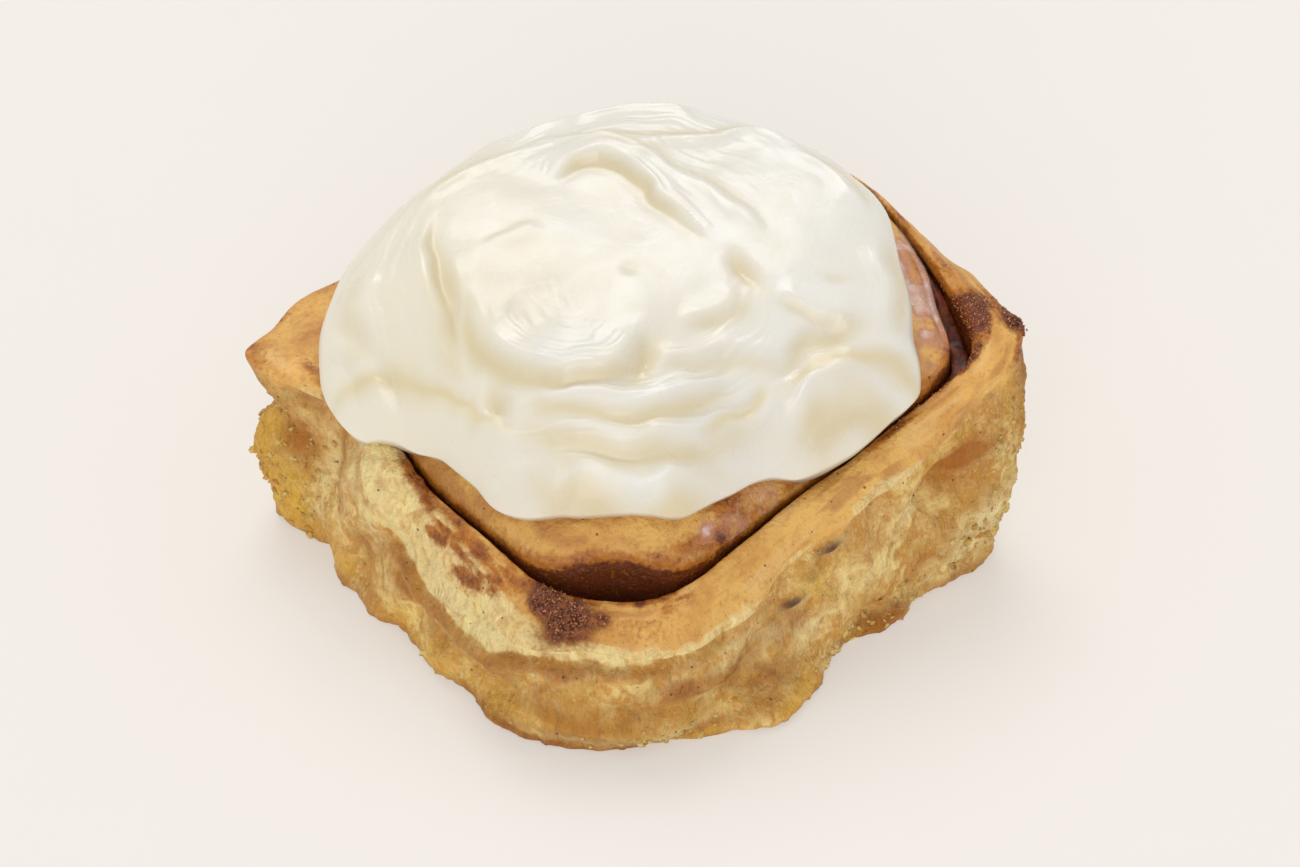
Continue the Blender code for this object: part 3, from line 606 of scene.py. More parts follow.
paint = {
    # torn crumb climbing over the lip: direction, spread, how far across the top it starts
    "raggedLip": ((203, 9, 0.98), (214, 7, 0.72), (223, 6, 0.5), (231, 7, 0.42), (240, 7, 0.34),
        (250, 8, 0.24), (262, 8, 0.16), (276, 9, 0.1), (290, 14, 0.06), (320, 20, 0.06), (60, 14, 0.16),
        (112, 20, 0.18)),
    # cinnamon along the gap: direction, spread, how far across the ring, strength
    "stains": ((213, 8, 0.12, 0.9), (228, 8, 0.14, 0.95), (240, 8, 0.14, 1), (252, 6, 0.36, 1),
        (260, 6, 0.5, 1), (272, 8, 0.36, 1), (279, 6, 0.2, 0.95), (290, 10, 0.1, 0.9), (303, 10, 0.13, 0.9),
        (322, 12, 0.12, 0.8), (340, 6, 0.26, 0.95), (346, 5, 0.3, 1), (352, 5, 0.32, 1),
        (0.5, 5.5, 0.95, 1.35), (8, 6, 0.3, 0.8), (20, 16, 0.12, 0.6), (120, 30, 0.12, 0.5),
        (178, 10, 0.15, 0.5)),
    # lighter smears of it: direction, spread, across, spread, strength
    "smears": ((213, 6, 0.16, 0.24, 0.9), (220, 6, 0.22, 0.26, 1), (228, 6, 0.34, 0.26, 1),
        (236, 5, 0.44, 0.26, 1), (242, 4, 0.62, 0.18, 1), (226, 3.5, 0.66, 0.11, 0.9),
        (237, 3.5, 0.8, 0.09, 0.9), (247, 5, 0.3, 0.24, 0.9), (233, 5, 0.6, 0.1, 0.8),
        (235, 3.5, 0.86, 0.08, 1), (272, 7, 0.62, 0.28, 0.3), (188, 3, 0.62, 0.2, 0.6),
        (184.5, 3, 0.45, 0.15, 0.6), (190.5, 2.5, 0.95, 0.12, 0.8), (338, 8, 0.2, 0.12, 0.8),
        (33, 4, 0.1, 0.16, 0.7), (23, 5, 0.22, 0.16, 0.7), (10, 4, 0.34, 0.16, 0.7),
        (356, 3, 0.98, 0.06, 0.9), (278, 6, 0.36, 0.12, 0.8), (179, 3, 0.93, 0.14, 0.6),
        (172, 5, 0.97, 0.06, 0.6), (1, 4, 0.9, 0.12, 0.8)),
    # clotted brown sugar: direction, spread, across, spread, strength
    "clots": ((259, 5.5, 0.58, 0.4, 1.5), (256, 5, 0.25, 0.28, 1.3), (254, 4, 0.5, 0.22, 1.2),
        (264.5, 2.5, 0.5, 0.2, 0.9), (358.8, 1.8, 0.93, 0.14, 1.2), (2.5, 2.5, 0.5, 0.2, 0.7),
        (353.5, 3, 0.14, 0.12, 1), (347, 3, 0.07, 0.09, 1), (343, 3, 0.05, 0.08, 0.8)),
    # places on the side: direction, spread, down, spread, strength
    "gold": ((262, 26, 0.8, 0.22, 0.8), (182, 6, 0.72, 0.32, 1.2), (179, 5, 0.42, 0.28, 0.9),
        (194, 5, 0.88, 0.14, 0.6), (176, 8, 0.85, 0.3, 0.7), (301, 6, 0.9, 0.08, 0.7),
        (284, 10, 0.95, 0.06, 0.6), (232, 12, 0.88, 0.12, 0.55), (216, 6, 0.8, 0.16, 0.5),
        (250, 8, 0.74, 0.12, 0.4), (318, 10, 0.95, 0.08, 0.6), (309, 4, 0.26, 0.08, 0.5),
        (340, 5, 0.12, 0.06, 0.5), (100, 20, 0.7, 0.3, 0.5)),
    "brown": ((266, 24, 0.64, 0.22, 0.8), (254, 9, 0.96, 0.1, 1.8), (266, 10, 0.99, 0.07, 1.6),
        (240, 9, 0.97, 0.08, 1), (296, 8, 0.7, 0.14, 1), (289, 8, 0.47, 0.15, 1.2),
        (300, 7, 0.42, 0.13, 1.1), (262, 14, 0.87, 0.11, 1.5), (279, 8, 0.38, 0.14, 1.2),
        (287, 8, 0.62, 0.12, 0.8), (272, 9, 0.55, 0.1, 0.6), (262, 9, 0.6, 0.14, 0.6),
        (250, 7, 0.55, 0.12, 0.6), (203.5, 3, 0.55, 0.15, 0.9), (209, 3, 0.4, 0.14, 0.6),
        (193, 1.6, 0.18, 0.2, 0.7), (197, 1.8, 0.38, 0.18, 0.6), (219.5, 4, 0.5, 0.09, 0.8),
        (230, 4, 0.62, 0.09, 0.6), (245, 7, 0.36, 0.07, 0.5), (328, 8, 0.9, 0.08, 1),
        (317, 5, 0.9, 0.08, 0.7), (338, 5, 0.52, 0.07, 0.5), (346, 3, 0.5, 0.1, 0.5),
        (179, 6, 0.1, 0.1, 0.8), (186, 4, 0.06, 0.08, 0.7), (356, 2.5, 0.12, 0.16, 1),
        (304, 5, 0.34, 0.05, 0.6), (313, 5, 0.14, 0.05, 0.6), (30, 16, 0.9, 0.1, 0.8),
        (70, 20, 0.92, 0.1, 0.8), (120, 20, 0.94, 0.1, 0.8), (155, 14, 0.5, 0.2, 0.4)),
    # amber is partly the crumb's own colour and partly painted shade in recesses and hollows
    "amber": ((345.5, 3.2, 0.25, 0.09, 1.4), (343.5, 3, 0.32, 0.1, 0.6), (185, 3, 0.34, 0.16, 0.9),
        (305, 3, 0.38, 0.06, 0.4), (262, 8, 0.72, 0.08, 0.4), (284, 8, 0.88, 0.05, 0.6),
        (328, 5, 0.95, 0.05, 0.9), (336, 4, 0.66, 0.06, 0.6), (219, 4, 0.44, 0.06, 0.7)),
    "pale": ((346, 5, 0.71, 0.14, 1.6), (320, 8, 0.45, 0.14, 0.6), (308, 7, 0.55, 0.12, 0.6),
        (277, 8, 0.82, 0.06, 0.8), (290, 7, 0.2, 0.1, 0.5), (190, 2, 0.5, 0.34, 0.9),
        (200, 3, 0.2, 0.2, 0.8), (207, 3, 0.2, 0.2, 0.8), (333, 6, 0.3, 0.12, 0.6),
        (298, 6, 0.42, 0.1, 0.5), (262, 8, 0.86, 0.05, 0.6), (214, 3, 0.62, 0.12, 0.4)),
    # crumbly, as far as ragged lumps stand out: direction, spread, down, spread, strength
    "ragged": ((346, 6, 0.74, 0.16, 1.6), (328, 9, 0.86, 0.12, 1.5), (316, 7, 0.92, 0.1, 1.2),
        (182, 8, 0.62, 0.4, 1.4), (277, 12, 0.84, 0.1, 0.8), (240, 12, 0.95, 0.1, 0.6),
        (352, 5, 0.5, 0.5, 0.7), (70, 40, 0.9, 0.2, 0.8), (130, 30, 0.9, 0.2, 0.8)),
    # the torn ledge: how far down its edge lies and how far it stands out, by direction
    "ledgeLine": {0: 0, 180: 0, 205: 0.12, 213: 0.2, 221: 0.27, 227: 0.36, 233: 0.31, 239: 0.27, 248: 0.2,
        260: 0.16, 268: 0.1, 276: 0.08, 284: 0.04, 300: 0},
    "ledgeSize": {0: 0, 200: 0, 210: 0.5, 217: 1.3, 226: 1.6, 240: 1.5, 252: 1.4, 264: 1.1, 276: 0.8,
        288: 0.4, 300: 0},
    # lumps that stand out: direction, spread, across plus down, spread, height
    "knobs": ((178.2, 3, 0.99, 0.09, 1.5), (358.6, 1.7, 0.98, 0.08, 1.4), (22, 3, 0.95, 0.1, 0.5),
        (9, 3, 0.95, 0.1, 0.5), (32, 2.4, 0.95, 0.1, 0.5)),
    # plum-dark slits where filling shows: direction, half length, down, half width, depth
    "slots": ((314.2, 2.4, 0.085, 0.022, 1.2), (304.2, 2.8, 0.28, 0.024, 1.2),
        (309.2, 1.6, 0.2, 0.03, 0.4)),
    # icing melted onto the second turn: direction, spread, across, spread, strength
    "glaze": ((289, 2.8, 0.83, 0.08, 1.5), (283, 3.5, 0.93, 0.07, 0.9), (294, 4, 0.88, 0.14, 0.75),
        (301, 4.5, 0.8, 0.16, 0.75), (298.5, 2.5, 0.95, 0.07, 0.9), (307, 4, 0.88, 0.18, 0.75),
        (5, 10, 0.72, 0.34, 1.8), (15, 8, 0.72, 0.34, 1.7), (26, 8, 0.75, 0.3, 1.5),
        (36, 7, 0.8, 0.25, 1.2), (355, 6, 0.85, 0.2, 1.5), (2, 8, 0.95, 0.16, 2)),
    "glazeRim": (4, 10, 0.95, 0.05, 0.8),    # its thick edge: direction, spread, across, spread, height
    "ringGlaze": ((28, 10, 0.5, 0.3, 0.9), (14, 6, 0.45, 0.25, 0.8), (38, 6, 0.6, 0.3, 0.6)),
    "coilStain": ((262, 20, 0.99, 0.06, 1), (275, 8, 0.97, 0.06, 0.9), (284, 6, 0.89, 0.08, 0.9),
        (292, 6, 0.94, 0.12, 1), (297, 8, 0.72, 0.16, 1), (303, 7, 0.86, 0.2, 0.9),
        (309, 6, 0.78, 0.3, 0.8), (312, 8, 0.95, 0.1, 0.9), (232, 12, 0.97, 0.06, 0.6),
        (216, 8, 0.6, 0.3, 0.4), (212, 9, 0.95, 0.1, 0.8), (4, 12, 0.9, 0.05, 0.8),
        (352, 10, 0.99, 0.05, 1), (343, 8, 0.97, 0.08, 0.9), (12, 8, 0.55, 0.1, 0.5)),
}


def blobs(name, angle, v):
    # the strongest of the painted spots at each point
    out = 0.0
    for place in paint[name]:
        out = np.maximum(out, spot(angle, v, place))
    return out


def pick(surface, names):
    # the named arrays of a surface
    return [surface[name] for name in names.split()]


def smoothDough():
    # the strip before its relief, which part each column belongs to and the noises that its paint shares
    wound = doughStations()
    surface = doughSections(wound)
    points = surface["points"]
    topStart = dough["wall"]
    sideStart = topStart + dough["rim"] + dough["top"] + dough["lipRound"]
    baseStart = sideStart + dough["side"] + dough["foot"]
    column = np.arange(points.shape[1])[None]
    onSide = ((column >= sideStart) & (column < baseStart)).astype(float)
    wander = layeredNoise(points, 7.0, 3)
    fineWander = layeredNoise(points, 2.2, 11)
    surface.update(
        wound=wound, topColumns=(topStart, sideStart),
        onWall=(column < topStart).astype(float),
        onTop=((column >= topStart) & (column < sideStart)).astype(float),
        onSide=onSide, side=onSide * surface["ring"],
        onBase=(column >= baseStart).astype(float),
        wander=wander, fineWander=fineWander, rough=0.5 * wander + 0.6 * fineWander,
    )
    return surface


def paintTorn(surface):
    # torn = the whole side and the top out from the ragged lip, crust = the rest of the top
    angle, across, down, onTop, onSide, ring = pick(surface, "angle across down onTop onSide ring")
    wander, fineWander = pick(surface, "wander fineWander")
    raggedLip = sum(share * bump(angle, facing, spreadOf) for facing, spreadOf, share in paint["raggedLip"])
    climb = ease((across - (1.02 - raggedLip) + 0.1 * wander + 0.12 * fineWander) / 0.1)
    underLip = ease((down - 0.012 + 0.035 * fineWander + 0.02 * wander) / 0.045)
    torn = np.maximum(onSide * np.maximum(underLip, climb), onTop * climb) * ring
    surface.update(
        torn=torn, crust=np.clip(onTop * (1 - torn), 0, 1),
        lipBand=np.clip(torn * (1 - torn) * 4, 0, 1) * onTop,
        cleanLip=1 - np.clip(raggedLip * 2.2, 0, 1),
    )


def paintCinnamon(surface):
    # the strongest of a streaky band along the gap, the hidden walls, stains, edges, clots and smears
    angle, across, down, points, rough = pick(surface, "angle across down points rough")
    onTop, onSide, onWall, ring, turned = pick(surface, "onTop onSide onWall ring turned")
    middle = points[:, dough["wall"] + dough["rim"] + dough["top"] // 2]
    steps = np.linalg.norm(np.diff(middle, axis=0), axis=1)
    along = np.concatenate([[0.0], np.cumsum(steps)])[:, None]
    lengthwise = np.stack([0.2 * along + 0 * across, 8.0 * across, 5.0 * down], -1)
    streak = layeredNoise(lengthwise, 1.5, 51, 3)
    reach = np.full_like(angle, 0.06)
    strength = np.full_like(angle, 0.4)
    for facing, spreadOf, far, strong in paint["stains"]:
        near = bump(angle, facing, spreadOf)
        reach = np.maximum(reach, far * near)
        strength = np.maximum(strength, strong * near)
    blotch = np.maximum(ease(0.62 + 1.1 * layeredNoise(points, 4.0, 43, 3)), ease((strength - 0.94) / 0.05))
    fray = reach * (0.35 * rough + 0.5 * streak)
    band = strength * ease((reach - across + fray) / (0.5 * reach)) * onTop * ring
    band = band * (blotch + (1 - blotch) * ease((0.12 - across) / 0.08))
    walls = onWall + onSide * turned
    stains = blobs("coilStain", angle, across) * onTop * turned * ease(0.75 + 0.5 * rough + 0.9 * streak)
    edges = turned * onTop * (ease((across - 0.94) / 0.06) + ease((0.05 - across) / 0.05)) * 0.6
    clots = blobs("clots", angle, across) * ease(0.75 + 0.8 * rough) * onTop * ring
    smears = 0.86 * np.clip(blobs("smears", angle, across) * 1.5, 0, 1)
    smears = smears * ease(0.95 + 0.8 * rough + 1.4 * streak) * onTop * ring
    surface.update(
        stain=np.clip(np.maximum.reduce([band, walls, stains, edges, clots, smears]), 0, 1),
        clotted=np.clip(clots, 0, 1) * onTop, streak=streak,
    )


def paintGlaze(surface):
    # melted icing in patches, and the thick rim that lifts its edge
    angle, across, onTop, turned = pick(surface, "angle across onTop turned")
    glaze = blobs("glaze", angle, across) * onTop * turned
    glaze = np.maximum(glaze, blobs("ringGlaze", angle, across) * onTop * surface["ring"])
    glaze = glaze * ease(0.6 + 0.9 * layeredNoise(surface["points"], 3.4, 41))
    *place, rimHeight = paint["glazeRim"]
    rim = spot(angle, across, (*place, 1.0)) * onTop * turned
    surface.update(glaze=np.clip(np.maximum(glaze, 1.5 * rim), 0, 1.6), glazeLift=rimHeight * rim)


def paintSide(surface):
    # browning, gold, amber and pale places of the torn side; painted shade under the torn ledge goes into
    # the browning, and the amber is partly painted shade in recesses
    angle, down, onTop, side, torn = pick(surface, "angle down onTop side torn")
    points, wander, fineWander, lipBand = pick(surface, "points wander fineWander lipBand")
    patchy = ease(0.75 + 0.8 * surface["rough"])
    brown = np.maximum(blobs("brown", angle, down) * side * patchy, surface["onBase"])
    brown = np.maximum(brown, side * ease((down - 0.93 + 0.05 * wander) / 0.06) * 0.6)
    pale = np.maximum(blobs("pale", angle, down) * np.maximum(side, torn) * patchy, onTop * torn * 0.75)
    pale = np.maximum(pale, 0.5 * lipBand)
    edgeDown = around(angle, paint["ledgeLine"])
    edgeDown = edgeDown + 0.05 * layeredNoise(points, 4.5, 37, 2) + 0.025 * fineWander
    ledgeSize = np.maximum(around(angle, paint["ledgeSize"]), 0.0)
    strong = np.clip(ledgeSize, 0, 1)
    # painted shade: a band just under the torn ledge, laid into the browning mask and pushing the crumb in a
    # little
    below = np.exp(-(((down - edgeDown - 0.07) / 0.07) ** 2)) * strong * side
    surface.update(
        pale=np.maximum(pale, 0.9 * strong * ease((edgeDown - down) / 0.03) * side),
        brown=np.maximum(brown, 0.7 * below), below=below, edgeDown=edgeDown, ledgeSize=ledgeSize,
        gold=blobs("gold", angle, down) * side * patchy,
        amber=blobs("amber", angle, down) * side,
        slots=blobs("slots", angle, down) * side,
        ragged=np.clip(blobs("ragged", angle, down) * side + 0.22 * side + 0.6 * lipBand, 0, 1.6),
    )


def tornPush(surface):
    # relief of the torn crumb: folds, strands, lumps and crumbs, all inwards, and the ledge that stands out
    points, fineWander, ragged, down = pick(surface, "points fineWander ragged down")
    torn, onSide, edgeDown = pick(surface, "torn onSide edgeDown")
    folds = ridgeNoise(points * np.array([1.0, 1.0, 0.8]), dough["foldSize"], 21, 2)
    strands = ridgeNoise(points * np.array([1.0, 1.0, 0.4]), dough["strandSize"], 22, 2)
    lumps = layeredNoise(points, dough["lumpSize"], 23, 2)
    crumbs = 0.45 - cellNoise(points + 0.8 * fineWander[..., None], dough["crumbSize"], 25)
    grain = softNoise(points, dough["grainSize"], 27)
    amount = torn * np.minimum(surface["thin"], 1.0)
    amount = amount * (1 - onSide * surface["cleanLip"] * (1 - ease(down / 0.16)))
    push = amount * (
        dough["fold"] * (folds - 0.7) + dough["strand"] * (strands - 0.7) + dough["lump"] * lumps
        + dough["crumb"] * ragged * (crumbs - 0.1) + dough["grain"] * grain - 0.35)
    past = (np.maximum(down - edgeDown, 0) / 0.05) ** 2
    ledge = surface["ledgeSize"] * np.exp(-past - np.maximum(edgeDown - down, 0) / 0.35)
    # painted shade: darker crumb colour in the hollows of the folds, strands and lumps
    surface["hollow"] = ease(0.5 - 0.5 * folds - 0.4 * strands + 0.2 - 0.3 * lumps) * torn
    return push + ledge * surface["side"] * (0.85 + 0.4 * lumps) - 0.3 * surface["below"]


def raiseDough(surface):
    # points + normals * push: torn crumb, slits, a soft crust, clots, grain, icing; knobs go straight out
    angle, across, down, points, side = pick(surface, "angle across down points side")
    clotted, onTop, onWall, onBase, ring = pick(surface, "clotted onTop onWall onBase ring")
    push = tornPush(surface)
    for facing, spreadOf, share, shareSpread, size in paint["slots"]:
        push = push - spot(angle, down, (facing, 0.8 * spreadOf, share, 0.8 * shareSpread, size)) * side
    swell = 0.2 * layeredNoise(points, 8.0, 31) + 0.04 * softNoise(points, 1.4, 33) - 0.1
    push = push + surface["crust"] * swell
    clotRelief = 0.42 * (0.5 - cellNoise(points, 1.5, 34)) + 0.25 * softNoise(points, 0.9, 35) + 0.1
    push = push + clotted * clotRelief
    push = push + (surface["stain"] - clotted) * onTop * 0.12 * softNoise(points, 0.9, 36)
    push = push + surface["lipBand"] * 0.4 * surface["fineWander"]
    push = push + 0.12 * surface["glaze"] + surface["glazeLift"]
    drawn = 0.0
    for *place, size in paint["knobs"]:
        near = spot(angle, across + down, (*place, 1.0)) * ring * (1 - onWall)
        drawn = drawn + size * near * (1 - onBase)
    base = points[..., 2] < 0.05
    points = points + gridNormals(points) * push[..., None]
    points[..., 0] += drawn * np.cos(np.radians(angle))
    points[..., 1] += drawn * np.sin(np.radians(angle))
    points[..., 2] = np.where(base, 0.0, np.maximum(points[..., 2], 0.0))
    surface.update(points=points, normals=gridNormals(points))


def makeDough():
    # the painted and raised strip; also the surface that films, grains and crumbs are laid on
    surface = smoothDough()
    for work in (paintTorn, paintCinnamon, paintGlaze, paintSide, raiseDough):
        work(surface)
    torn, stain, glaze, clotted = pick(surface, "torn stain glaze clotted")
    brown, gold, hollow, slots = pick(surface, "brown gold hollow slots")
    pale, amber, ragged, streak = pick(surface, "pale amber ragged streak")
    lipBand, onTop, ring = pick(surface, "lipBand onTop ring")
    masks = {
        "bakeMasks": np.stack([torn, stain, glaze, 0 * torn], -1),
        "tintAndShadeMasks": np.stack([brown, gold, hollow, slots], -1),
        "lipMasks": np.stack([pale, amber, clotted, np.clip(ragged, 0, 1)], -1),
        "streakMasks": np.stack([np.clip(0.5 + 0.6 * streak, 0, 1), lipBand, 0 * pale, 0 * pale], -1),
    }
    shape = surface["points"].shape[:2]
    addPiece("doughSpiral", surface["points"], gridQuads(*shape), makeDoughSkin(), masks,
             tubeEnds(*shape), ("dough",))
    wetCorner = (stain > 0.75) * onTop * ring * 0.3 * bump(surface["angle"], 352.0, 12.0)
    surface["sugary"] = np.clip(clotted - 0.5, 0, 1) + wetCorner
    surface["crumbly"] = np.clip(ragged - 0.3, 0, 1) * np.maximum(surface["side"], torn)
    return surface


def makeDoughSkin():
    # baked crust, torn crumb, cinnamon stain, melted icing and browning, from the painted masks, with
    # painted shade in crumb hollows, pores, recesses and under the torn ledge
    skin, tree, shader, where = startMaterial(
        "bakedDough", 0.55, 0.22, (1.0, 0.5, 0.22), 0.0016, specular=0.42)
    torn, stain, glaze = maskNode(tree, "bakeMasks")[:3]
    brown, gold, hollow, slots = maskNode(tree, "tintAndShadeMasks")
    pale, amber, clots, ragged = maskNode(tree, "lipMasks")
    streak, lipBand = maskNode(tree, "streakMasks")[:2]
    broad = noiseNode(tree, where, 95.0, 4.0, 0.55, 0.4)
    mottle = noiseNode(tree, where, 330.0, 5.0, 0.6, 0.8)
    fine = noiseNode(tree, where, 1400.0, 4.0, 0.6)
    specks = useGroup(tree, speckGroup, {"Vector": where, "Scale": 1000.0, "Amount": 0.06}).outputs[0]
    smallSpecks = useGroup(tree, speckGroup, {"Vector": where, "Scale": 2200.0, "Amount": 0.1}).outputs[0]
    crumb = useGroup(tree, crumbGroup, {"Vector": where, "Scale": 1100.0, "Pores": 0.5})

    crustTone = layTints(
        tree, twoTone(tree, broad, 0.3, 0.7, (212, 154, 74), (238, 190, 104)),
        (mottle, 0.45, 0.75, 0.45, (180, 116, 58)),
        (streak, 0.4, 0.15, 0.5, (176, 108, 58)),
        (streak, 0.6, 0.85, 0.5, (236, 194, 128)),
        (fine, 0.52, 0.72, 0.35, (168, 104, 52)),
    )
    tornTone = layTints(
        tree, twoTone(tree, mottle, 0.38, 0.62, (214, 160, 74), (252, 224, 146)),
        (broad, 0.4, 0.66, 0.75, (206, 144, 70)),
    )
    tornTone = layTints(
        tree, tornTone,
        (noiseNode(tree, where, 150.0, 3.0, 0.6, 0.6), 0.48, 0.62, 0.6, (212, 162, 66)),
        (fine, 0.52, 0.7, 0.45, (196, 142, 72)),
        (fine, 0.46, 0.3, 0.45, (248, 226, 176)),
    )
    # painted shade in the crumb's hollows, less where it is pale
    hollowShadeShare = times(tree, hollow, timesPlus(tree, pale, -0.45, 0.45, clamp=True))
    tornTone = mixColour(tree, hollowShadeShare, tornTone, colour(184, 124, 52))
    tone = mixColour(tree, torn, crustTone, tornTone)

    goldShare = times(tree, gold, spread(tree, mottle, 0.2, 0.6, 0.6, 1.0))
    tone = mixColour(tree, goldShare, tone, colour(240, 190, 70))
    # browning, which also carries the painted shade under the torn ledge
    brownShare = times(tree, brown, spread(tree, mottle, 0.25, 0.65, 0.5, 1.0))
    tone = mixColour(tree, brownShare, tone, colour(160, 94, 32))
    pale = mathNode(tree, "MAXIMUM", pale, times(tree, lipBand, 0.7))
    paleShare = times(tree, pale, spread(tree, mottle, 0.3, 0.55, 0.35, 1.0))
    tone = mixColour(tree, times(tree, paleShare, 0.9, clamp=True), tone, colour(255, 235, 172))
    # amber crumb, partly painted shade in recesses
    tone = mixColour(tree, times(tree, amber, 0.9, clamp=True), tone, colour(172, 98, 6))
    stainEdge = plus(tree, stain, times(tree, minus(tree, fine, 0.5), 0.8))
    stainLight = twoTone(tree, mottle, 0.3, 0.7, (146, 78, 18), (198, 126, 40))
    stainDark = twoTone(tree, fine, 0.35, 0.65, (64, 24, 12), (120, 58, 30))
    stainDark = layTints(tree, stainDark, (streak, 0.5, 0.8, 0.6, (142, 68, 28)))
    stainTone = mixColour(tree, spread(tree, stainEdge, 0.74, 1.02), stainLight, stainDark)
    tone = mixColour(tree, spread(tree, stainEdge, 0.08, 0.72), tone, stainTone)
    clotTone = twoTone(tree, fine, 0.4, 0.62, (72, 30, 16), (160, 90, 52))
    tone = mixColour(tree, spread(tree, clots, 0.25, 0.8, 0.0, 0.9), tone, clotTone)
    tone = mixColour(tree, times(tree, slots, 0.9), tone, colour(84, 54, 60))
    poreShade = times(tree, crumb.outputs["Pore"], times(tree, torn, 0.3))
    tone = mixColour(tree, poreShade, tone, colour(150, 92, 44))
    dots = mathNode(tree, "MAXIMUM", specks, times(tree, smallSpecks, 0.6))
    tone = mixColour(tree, times(tree, dots, 0.75), tone, colour(92, 44, 20))
    glazeEdge = plus(tree, glaze, times(tree, minus(tree, mottle, 0.5), 0.5))
    glazeShare = spread(tree, glazeEdge, 0.2, 0.95, 0.0, 0.9)
    glazeTone = twoTone(tree, glazeEdge, 0.8, 1.35, (196, 136, 108), (252, 244, 244))
    tone = mixColour(tree, glazeShare, tone, glazeTone)
    tree.links.new(tone, shader.inputs["Base Color"])

    wet = mathNode(tree, "MAXIMUM", spread(tree, stain, 0.4, 0.95, 0.0, 0.75), glazeShare)
    dry = timesPlus(tree, torn, 0.25, 0.42)
    tree.links.new(timesPlus(tree, wet, -0.24, dry), shader.inputs["Roughness"])
    tree.links.new(times(tree, wet, 0.22, clamp=True), shader.inputs["Coat Weight"])
    crustHeight = timesPlus(tree, fine, 0.35, times(tree, mottle, 0.5))
    crumbShare = timesPlus(tree, ragged, 0.6, timesPlus(tree, torn, 0.22, 0.06))
    crumbHeight = times(tree, minus(tree, crumb.outputs["Height"], 0.6), crumbShare)
    clotHeight = times(tree, fine, times(tree, clots, 1.2))
    fibreNoise = noiseNode(tree, vectorNode(tree, where, (1.0, 1.0, 0.4)), 620.0, 4.0, 0.6, 1.2)
    fibres = times(tree, minus(tree, fibreNoise, 0.5), times(tree, torn, 1.2))
    height = plus(tree, plus(tree, crustHeight, crumbHeight), plus(tree, clotHeight, fibres))
    bumpNode(tree, shader, height, 0.0009, 1.0)
    return skin


# Cinnamon filling

filling = {
    "start": 48, "stop": 6, "step": 0.9, "across": 14, "side": 5,    # degrees, then points of a section
    # gap to the dough, height of the foot, depth under the turns and in the pits, depth under the ring
    "clearance": 0.3, "base": 0.6, "depth": 1, "pitDepth": 2.6, "sunk": 1,
    "ridge": 0.9, "wave": 0.15, "grain": 0.18, "slump": 0.2,
}


def makeFilling():
    # a sheet in the gap: near wall up, top = edge of the turns less the depth, plus ridges, far wall down
    last = coil["last"] - 360.0
    wound = np.arange(filling["start"], last - filling["stop"], filling["step"])
    angle = (wound + coil["tail"])[:, None]
    far = stripWalls(wound)[0][:, None] - filling["clearance"]
    near = stripWalls(wound + 360.0)[1][:, None] + filling["clearance"]
    width = far - near
    pit = ease((width - 1.0) / 2.4)
    inner = coilHeight(angle, near) - coil["dome"]
    first = np.minimum(inner, around(angle, coil["innerEdge"]) - filling["sunk"])
    edge = first + (inner - first) * ease((wound - 330.0) / 60.0)[:, None]
    top = edge - filling["depth"] - filling["pitDepth"] * pit
    up = np.linspace(0, 1, filling["side"])[None]
    share = np.linspace(0.0, 1.0, filling["across"])[None]
    radius = np.concatenate([near + 0 * up, near + width * share, far + 0 * up], axis=1)
    wallTop = top - filling["slump"] - filling["base"]
    height = np.concatenate([filling["base"] + wallTop * up, top + 0 * share,
                             filling["base"] + wallTop * up[:, ::-1]], axis=1)
    points = standUp(radius, height, angle)
    onTop = np.concatenate([0 * up, 4 * share * (1 - share), 0 * up], axis=1)
    along = np.radians(angle) * near
    plan = np.stack([along + 0 * radius, radius * 1.6, 0 * radius], -1)
    wave = ridgeNoise(plan, 5.0, 51, 2)
    grain = filling["grain"] * softNoise(points, 1.1, 53)
    points[..., 2] += onTop * (filling["ridge"] * pit * wave + filling["wave"] * wave + grain)
    shape = points.shape[:2]
    addPiece("cinnamonSheet", points, gridQuads(*shape), makeFillingSkin(),
             None, tubeEnds(*shape), ("filling",))


def makeFillingSkin():
    # dark syrup with brown sugar grains, glossy where it pooled
    skin, tree, shader, where = startMaterial(
        "cinnamonFilling", 0.45, 0.1, (1.0, 0.35, 0.15), 0.001, coat=0.06, specular=0.3)
    mottle = noiseNode(tree, where, 420.0, 5.0, 0.65, 0.6)
    fine = noiseNode(tree, where, 1700.0, 3.0, 0.6)
    grains = useGroup(tree, speckGroup, {"Vector": where, "Scale": 1300.0, "Amount": 0.35}).outputs[0]
    tone = twoTone(tree, mottle, 0.3, 0.7, (62, 22, 10), (128, 58, 28))
    tone = mixColour(tree, times(tree, grains, 0.6), tone, colour(164, 92, 50))
    tree.links.new(tone, shader.inputs["Base Color"])
    tree.links.new(spread(tree, mottle, 0.35, 0.7, 0.34, 0.6), shader.inputs["Roughness"])
    bumpNode(tree, shader, timesPlus(tree, fine, 0.5, mottle), 0.0003, 0.8)
    return skin


# Frosting

